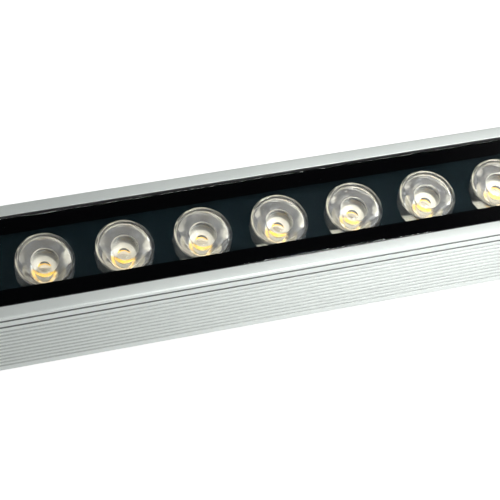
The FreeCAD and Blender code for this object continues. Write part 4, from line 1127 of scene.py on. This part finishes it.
# ---------------------------------------------------------------- lenses
@dataclass
class LensRow:
    """Sixteen lenses in their holders, the emitters under them and the plate round them."""

    sizes: BarSizes
    finishes: Finishes
    holder_radius: float = mm(11.0)
    holder_wall: float = mm(0.8)
    holder_height: float = mm(12.7)
    rim_round: float = mm(0.25)
    lens_radius: float = mm(10.0)
    lens_face: float = mm(11.8)
    flange: float = mm(1.6)
    flange_edge: float = mm(0.2)
    foot_radius: float = mm(3.6)
    reflector_power: float = 0.72
    reflector_steps: int = 12
    recess_radius: float = mm(5.0)
    recess_edge: float = mm(0.25)
    recess_wall: float = mm(4.6)
    recess_foot: float = mm(4.3)
    recess_floor: float = mm(6.8)
    eye_radius: float = mm(2.6)
    eye_rise: float = mm(1.3)
    pocket_radius: float = mm(2.5)
    pocket_top: float = mm(2.3)
    pocket_bulge: float = mm(1.6)
    emitter_side: float = mm(3.5)
    emitter_base: float = mm(0.9)
    emitter_edge: float = mm(0.08)
    dome_radius: float = mm(1.7)
    dome_height: float = mm(1.1)

    def holder_profile(self) -> list[Point]:
        """Return the holder's closed profile: a tube with a rounded rim."""
        outer, inner, curve = self.holder_radius, self.holder_radius - self.holder_wall, self.rim_round
        top = self.holder_height - curve
        return ([(inner, 0.0), (outer, 0.0)] + arc_points((outer - curve, top), (curve, curve), 0.0, 90.0, 4)
                + arc_points((inner + curve, top), (curve, curve), 90.0, 180.0, 4))

    def lens_profile(self) -> list[Point]:
        """Return the lens's closed profile: foot, reflector, flange, front recess with its eye, pocket."""
        face, floor, soft, lip = self.lens_face, self.recess_floor, self.flange_edge, self.recess_edge
        profile = [(self.pocket_radius, 0.0), (self.foot_radius, 0.0)]
        for step in range(1, self.reflector_steps + 1):
            share = step / self.reflector_steps
            reach = (self.lens_radius - self.foot_radius) * share ** self.reflector_power
            profile.append((self.foot_radius + reach, (face - self.flange) * share))
        profile += [(self.lens_radius, face - soft), (self.lens_radius - soft, face),
                    (self.recess_radius + lip, face), (self.recess_radius, face - lip),
                    (self.recess_wall, floor + lip), (self.recess_foot, floor),
                    (self.eye_radius + lip, floor)]
        eye = arc_points((0.0, floor), (self.eye_radius, self.eye_rise), 0.0, 90.0, 8)
        roof = (0.0, self.pocket_top + self.pocket_bulge)
        return profile + eye + arc_points(roof, (self.pocket_radius, self.pocket_bulge), -90.0, 0.0, 8)

    def emitter_mesh(self) -> Mesh:
        """Return the emitter: a square base with a round dome on it."""
        foot = (0.0, self.emitter_base)
        base = prism("emitter_base", box_outline(self.emitter_side / 2, self.emitter_side / 2), 0.0,
                     self.emitter_base, self.emitter_edge)
        dome = [foot] + arc_points(foot, (self.dome_radius, self.dome_height), 0.0, 90.0, 8)
        return merge_meshes("emitter", [base, lathe("dome", dome, 24)])

    def row(self, name: str, shape: Mesh, finish: Material) -> Mesh:
        """Repeat a shape that stands on the LED board under every lens."""
        start = (self.sizes.first_lens, 0.0, self.sizes.height(self.sizes.board_depth))
        return grow(name, shape, row_tree(), Count=self.sizes.lens_count, Start=start,
                    Step=(self.sizes.pitch, 0.0, 0.0), Finish=finish)

    def build(self) -> None:
        """Build the three rows and dress the plate."""
        holder, lens = lathe("holder", self.holder_profile(), 80), lathe("lens", self.lens_profile(), 80)
        rows = (
            ("holder_row", holder, self.finishes.holder, "lens_holders", "milky_plastic"),
            ("lens_row", lens, self.finishes.lens, "tir_lenses", "lens_plastic"),
            ("emitter_row", self.emitter_mesh(), self.finishes.phosphor, "led_emitters", "phosphor"),
        )
        for name, shape, finish, node, slot in rows:
            set_piece(name, self.row(name, shape, finish), "housing", [node])
        dress(self.finishes.plate, "lens_face_plate")
        dress(self.finishes.board_white, "led_board")
        dress(self.finishes.bolt_steel, "board_screws")


@dataclass
class Driver:
    """What lies in the driver bay."""

    finishes: Finishes

    def build(self) -> None:
        """Dress the driver's CAD nodes."""
        dress(self.finishes.board_green, "driver_board")
        dress(self.finishes.ferrite, "driver_transformer", "driver_inductors")
        dress(self.finishes.sleeve, "driver_capacitors")
        dress(self.finishes.chip, "driver_chips")
        dress(self.finishes.terminal, "terminal_blocks")
        dress(self.finishes.wire, "wiring_loom")


# ---------------------------------------------------------------- ends
@dataclass
class EndCap:
    """One end cap with its gasket and four sunk screws."""

    sizes: BarSizes
    finishes: Finishes
    side: Side
    corner: float = mm(1.6)
    seat_radius: float = mm(3.65)
    seat_depth: float = mm(2.4)
    hole_radius: float = mm(2.2)
    gland_radius: float = mm(6.05)
    head_radius: float = mm(3.5)
    head_height: float = mm(2.4)
    head_edge: float = mm(0.2)
    shank_radius: float = mm(1.65)
    shank_length: float = mm(12.6)
    shank_point: float = mm(0.5)
    socket_flats: float = mm(2.5)
    socket_depth: float = mm(1.2)

    def outwards(self, mesh: Mesh) -> Mesh:
        """Turn a mesh drawn with Z out of the cap, X across and Y up the bar, into the row frame."""
        way = self.side.value
        mesh.transform(Matrix(((0, 0, way, 0), (way, 0, 0, 0), (0, 1, 0, 0), (0, 0, 0, 1))))
        return mesh

    def cap_mesh(self) -> Mesh:
        """Return the cap: a thick plate whose outer half carries the wider screw seats."""
        half, low, high = self.sizes.half_width, self.sizes.height(self.sizes.depth), self.sizes.front
        outline = round_corners([(across, up, self.corner) for across, up in
                                 ((-half, low), (half, low), (half, high), (-half, high))], 6)
        screws = [(side * self.sizes.boss_side, self.sizes.height(depth))
                  for side in (1, -1) for depth in self.sizes.boss_depths]
        entry = ring_of(self.gland_radius, 40, (0.0, self.sizes.height(self.sizes.entry_depth)))
        start, end = self.sizes.cap_start, self.sizes.cap_face
        seat = end - self.seat_depth
        layers = ((start, seat, self.hole_radius, 28), (seat, end, self.seat_radius, 36))
        plates = []
        for under, over, radius, count in layers:
            holes = [ring_of(radius, count, spot) for spot in screws] + [entry]
            plates.append(prism("cap_layer", outline, under, over, 0.0, holes))
        return merge_meshes("cap", plates)

    def screw_mesh(self) -> Mesh:
        """Return a socket screw whose head's top is at zero and whose shank runs down."""
        radius, drop = self.shank_radius, -self.head_height
        tip = drop - self.shank_length
        head = prism("screw_head", ring_of(self.head_radius, 32), drop, 0.0, self.head_edge,
                     [ring_of(self.socket_flats / math.sqrt(3), 6)])
        floor = prism("socket_floor", ring_of(self.head_radius * 0.7, 24), drop, -self.socket_depth)
        shank = lathe("shank", [(0.0, tip), (radius * 0.8, tip), (radius, tip + self.shank_point),
                                (radius, drop), (0.0, drop)], 20)
        return merge_meshes("cap_screw", [head, floor, shank])

    def build(self) -> Mesh:
        """Build the cap, dress the gasket and return the four screws' mesh."""
        word = self.side.word
        set_piece("cap_" + word, self.outwards(self.cap_mesh()), "housing", ["end_cap_" + word],
                  self.finishes.cap_metal)
        dress(self.finishes.rubber, "end_gasket_" + word)
        shallow, deep = self.sizes.boss_depths
        middle = self.sizes.height((shallow + deep) / 2)
        screws = grow("cap_screws", self.screw_mesh(), grid_tree(), Size_X=self.sizes.boss_side * 2,
                      Size_Y=deep - shallow, Centre=(0.0, middle, self.sizes.cap_face),
                      Finish=self.finishes.bolt_steel)
        return self.outwards(screws)


@dataclass
class Gland:
    """Cable gland pieces, drawn along Z from the cap's face."""

    sizes: BarSizes
    finishes: Finishes
    washer: tuple[float, float, float] = (mm(8.3), mm(6.05), mm(1.0))
    flats: float = mm(15.0)
    hexagon: tuple[float, float] = (mm(1.0), mm(5.5))
    thread: tuple[float, float] = (mm(6.0), mm(-7.0))
    collar: tuple[float, float] = (mm(5.5), mm(15.5))
    throat: float = mm(4.2)
    seat: tuple[float, float] = (mm(4.6), mm(7.45))
    seal: tuple[float, float, float, float] = (mm(3.4), mm(4.55), mm(7.5), mm(15.5))
    dome: tuple[float, float, float] = (mm(5.8), mm(12.8), mm(17.3))
    mouth: float = mm(4.0)
    washer_edge: float = mm(0.12)
    mouth_wall: float = mm(1.7)
    nose_radius: float = mm(5.0)
    play: float = mm(0.05)
    rim: float = mm(0.3)
    soft: float = mm(0.25)
    step: float = mm(0.5)

    def hex_ring(self, name: str, low: float, high: float, bore: float) -> Mesh:
        """Return a hexagon ring with broken rims and a round bore."""
        return prism(name, ring_of(self.flats / math.sqrt(3), 6), low, high, self.soft, [ring_of(bore, 40)])

    def washer_mesh(self) -> Mesh:
        """Return the sealing washer."""
        outer, inner, thick = self.washer
        return prism("washer", ring_of(outer, 48), 0.0, thick, self.washer_edge, [ring_of(inner, 48)])

    def body_mesh(self) -> Mesh:
        """Return the threaded stem with its hexagon and hollow collar."""
        radius, start = self.thread
        low, high = self.hexagon
        collar, end = self.collar
        seat_radius, seat = self.seat
        shoulder = high - self.step
        stem = lathe("stem", [
            (self.throat, start), (radius - mm(0.4), start), (radius, start + mm(0.4)), (radius, shoulder),
            (collar, shoulder), (collar, end - self.rim), (collar - self.rim, end), (seat_radius, end),
            (seat_radius, seat), (self.throat, seat)], 48)
        return merge_meshes("gland_body", [stem, self.hex_ring("gland_hex", low, high, radius - self.play)])

    def seal_mesh(self) -> Mesh:
        """Return the rubber sleeve with softened rims."""
        inner, outer, low, high = self.seal
        soft = self.soft
        return lathe("seal", [(inner, low), (outer, low), (outer, high - soft), (outer - soft, high),
                              (inner + soft, high), (inner, high - soft)], 48)

    def nut_mesh(self) -> Mesh:
        """Return the dome nut: hexagon skirt, rounded nose and cable mouth."""
        low, skirt, end = self.dome
        bore, root = self.collar[0] + self.play, self.flats / 2 - self.rim
        foot, spring = skirt - self.step, skirt + mm(0.6)
        bend = arc_points((self.nose_radius, spring), (root - self.nose_radius, end - spring), 0.0, 90.0, 8)
        nose = [(bore, foot), (root, foot)] + bend + [
            (self.mouth + self.rim, end), (self.mouth, end - self.rim), (self.mouth, end - self.mouth_wall),
            (bore, end - self.mouth_wall)]
        return merge_meshes("gland_nut", [lathe("nose", nose, 48), self.hex_ring("skirt", low, skirt, bore)])

    def build(self) -> None:
        """Build each gland piece for both ends as one piece."""
        parts = (
            ("gland_washer_pair", self.washer_mesh, self.finishes.rubber, "gland_washers", "silicone"),
            ("gland_body_pair", self.body_mesh, self.finishes.nickel, "gland_bodies", "nickel_brass"),
            ("gland_seal_pair", self.seal_mesh, self.finishes.rubber, "gland_seals", "silicone"),
            ("gland_nut_pair", self.nut_mesh, self.finishes.nickel, "gland_nuts", "nickel_brass"),
        )
        height = self.sizes.height(self.sizes.entry_depth)
        for name, make, finish, node, slot in parts:
            ends = []
            for side in Side:
                mesh = make()
                place = Matrix.Translation((self.sizes.cap_face * side.value, 0.0, height))
                mesh.transform(place @ side.outwards)
                ends.append(mesh)
            set_piece(name, merge_meshes(name, ends), "housing", [node], finish)


# ---------------------------------------------------------------- brackets
@dataclass
class Bracket:
    """One sliding, tilting bracket."""

    finishes: Finishes
    side: Side

    def build(self) -> None:
        """Dress the bracket's CAD nodes."""
        word = self.side.word
        dress(self.finishes.steel, "yoke_" + word, "foot_" + word)
        dress(self.finishes.bolt_steel, *(stem + word for stem in (
            "slot_nut_", "clamp_screw_", "clamp_washer_", "pivot_screws_", "pivot_nuts_", "outer_washers_")))
        dress(self.finishes.washer, "friction_washers_" + word)


# ---------------------------------------------------------------- studio
@dataclass
class Studio:
    """Pale floor, soft lights, plain surroundings and the camera."""

    floor_size: float = 12.0
    floor_tone: Colour = (0.35, 0.35, 0.35, 1.0)
    floor_seen: float = 0.9
    floor_mirrored: float = 0.25
    lens: float = 105.52
    camera_place: Place = (-0.11619, -0.24867, 0.56497)
    right: Place = (0.963332, -0.243388, 0.112935)
    up: Place = (0.164556, 0.868379, 0.467802)
    back: Place = (-0.211927, -0.432065, 0.876588)
    lamps: tuple[tuple[str, Place, Place, tuple[float, float], float], ...] = (
        ("front", (0.13, -0.26, 0.075), (0.06, 0.0, 0.065), (0.16, 0.06), 0.56),
        ("above", (0.14, -0.10, 0.36), (0.05, 0.0, 0.086), (0.14, 0.14), 1.36),
        ("back", (-0.30, 0.60, 0.11), (0.0, 0.0, 0.07), (0.50, 0.12), 2.2),
        ("left", (-0.90, -0.15, 0.12), (-0.25, 0.0, 0.07), (0.35, 0.12), 1.3),
        ("right", (0.95, -0.15, 0.12), (0.25, 0.0, 0.07), (0.35, 0.12), 2.0),
    )
    horizon: Colour = (0.15, 0.15, 0.15, 1.0)
    overhead: Colour = (0.006, 0.009, 0.010, 1.0)
    glow: Colour = (0.8, 0.8, 0.8, 1.0)
    rise: Point = (0.30, 0.65)
    rightwards: Point = (0.36, 0.85)
    backwards: Point = (0.0, 0.3)

    def build_floor(self) -> None:
        """Lay the floor, which keeps the object's shadow and shows as white."""
        half = self.floor_size / 2
        mesh = mesh_of("floor", lambda work: work.faces.new(
            [work.verts.new((*spot, 0.0)) for spot in box_outline(half, half)]))
        floor = add_object("floor", mesh)
        material, bench, shader = start_material("pale_floor")
        path = bench.add("ShaderNodeLightPath")
        mirrored = bench.math("MAXIMUM", path.outputs["Is Glossy Ray"], path.outputs["Is Transmission Ray"])
        seen = bench.plus(bench.times(mirrored, self.floor_mirrored),
                          bench.times(path.outputs["Is Camera Ray"], self.floor_seen))
        bench.fill(shader, Base_Color=self.floor_tone, Roughness=0.9, Specular_IOR_Level=0.0,
                   Emission_Color=WHITE, Emission_Strength=seen)
        mesh.materials.append(material)

    def build_world(self) -> None:
        """Surround the light with a dim horizon and a dark height that glows behind it on the right."""
        world = bpy.data.worlds.new("plain_surroundings")
        bpy.context.scene.world = world
        world.use_nodes = True
        bench = Bench(world.node_tree)
        place = bench.add("ShaderNodeSeparateXYZ")
        bench.join(bench.add("ShaderNodeTexCoord").outputs["Generated"], place.inputs[0])
        across, back, high = (bench.ramp(place.outputs[axis], *span) for axis, span in (
            ("X", self.rightwards), ("Y", self.backwards), ("Z", self.rise)))
        above = bench.mix(bench.times(across, back), self.overhead, self.glow)
        tone = bench.mix(high, self.horizon, above)
        seen = bench.add("ShaderNodeLightPath").outputs["Is Camera Ray"]
        background = bench.add("ShaderNodeBackground")
        bench.fill(background, Color=bench.mix(seen, tone, WHITE))
        bench.wire(background, bench.add("ShaderNodeOutputWorld"), Surface="Background")

    def build_lamps(self) -> None:
        """Hang the soft lamps, which the camera doesn't see."""
        for name, place, aim, (width, height), power in self.lamps:
            lamp = bpy.data.lights.new(name, "AREA")
            lamp.shape = "RECTANGLE"
            lamp.size = width
            lamp.size_y = height
            lamp.energy = power
            holder = bpy.data.objects.new(name, lamp)
            holder.location = place
            holder.visible_camera = False
            holder.rotation_euler = (Vector(place) - Vector(aim)).to_track_quat("Z", "Y").to_euler()
            bpy.context.scene.collection.objects.link(holder)

    def build_camera(self) -> None:
        """Set the camera at the picture's viewing angle."""
        data = bpy.data.cameras.new("camera")
        data.lens = self.lens
        data.sensor_width = 36.0
        data.clip_start = 0.01
        camera = bpy.data.objects.new("camera", data)
        turn = Matrix((self.right, self.up, self.back)).transposed()
        camera.matrix_world = Matrix.Translation(self.camera_place) @ turn.to_4x4()
        bpy.context.scene.collection.objects.link(camera)
        bpy.context.scene.camera = camera

    def build(self) -> None:
        """Build the whole studio."""
        self.build_floor()
        self.build_world()
        self.build_lamps()
        self.build_camera()
        bpy.context.scene.view_settings.view_transform = "Standard"


def main() -> None:
    """Build every sub-assembly in order."""
    logging.basicConfig(level=logging.INFO, format="%(name)s: %(message)s")
    sizes = BarSizes()
    finishes = Finishes(sizes)
    Studio().build()
    Extrusion(sizes, finishes).build()
    FrontWindow(sizes, finishes).build()
    LensRow(sizes, finishes).build()
    Driver(finishes).build()
    screws = [EndCap(sizes, finishes, side).build() for side in Side]
    set_piece("cap_screw_set", merge_meshes("cap_screw_set", screws), "housing", ["end_cap_screws"],
              finishes.bolt_steel)
    Gland(sizes, finishes).build()
    for side in Side:
        Bracket(finishes, side).build()


if __name__ == "__main__":
    main()
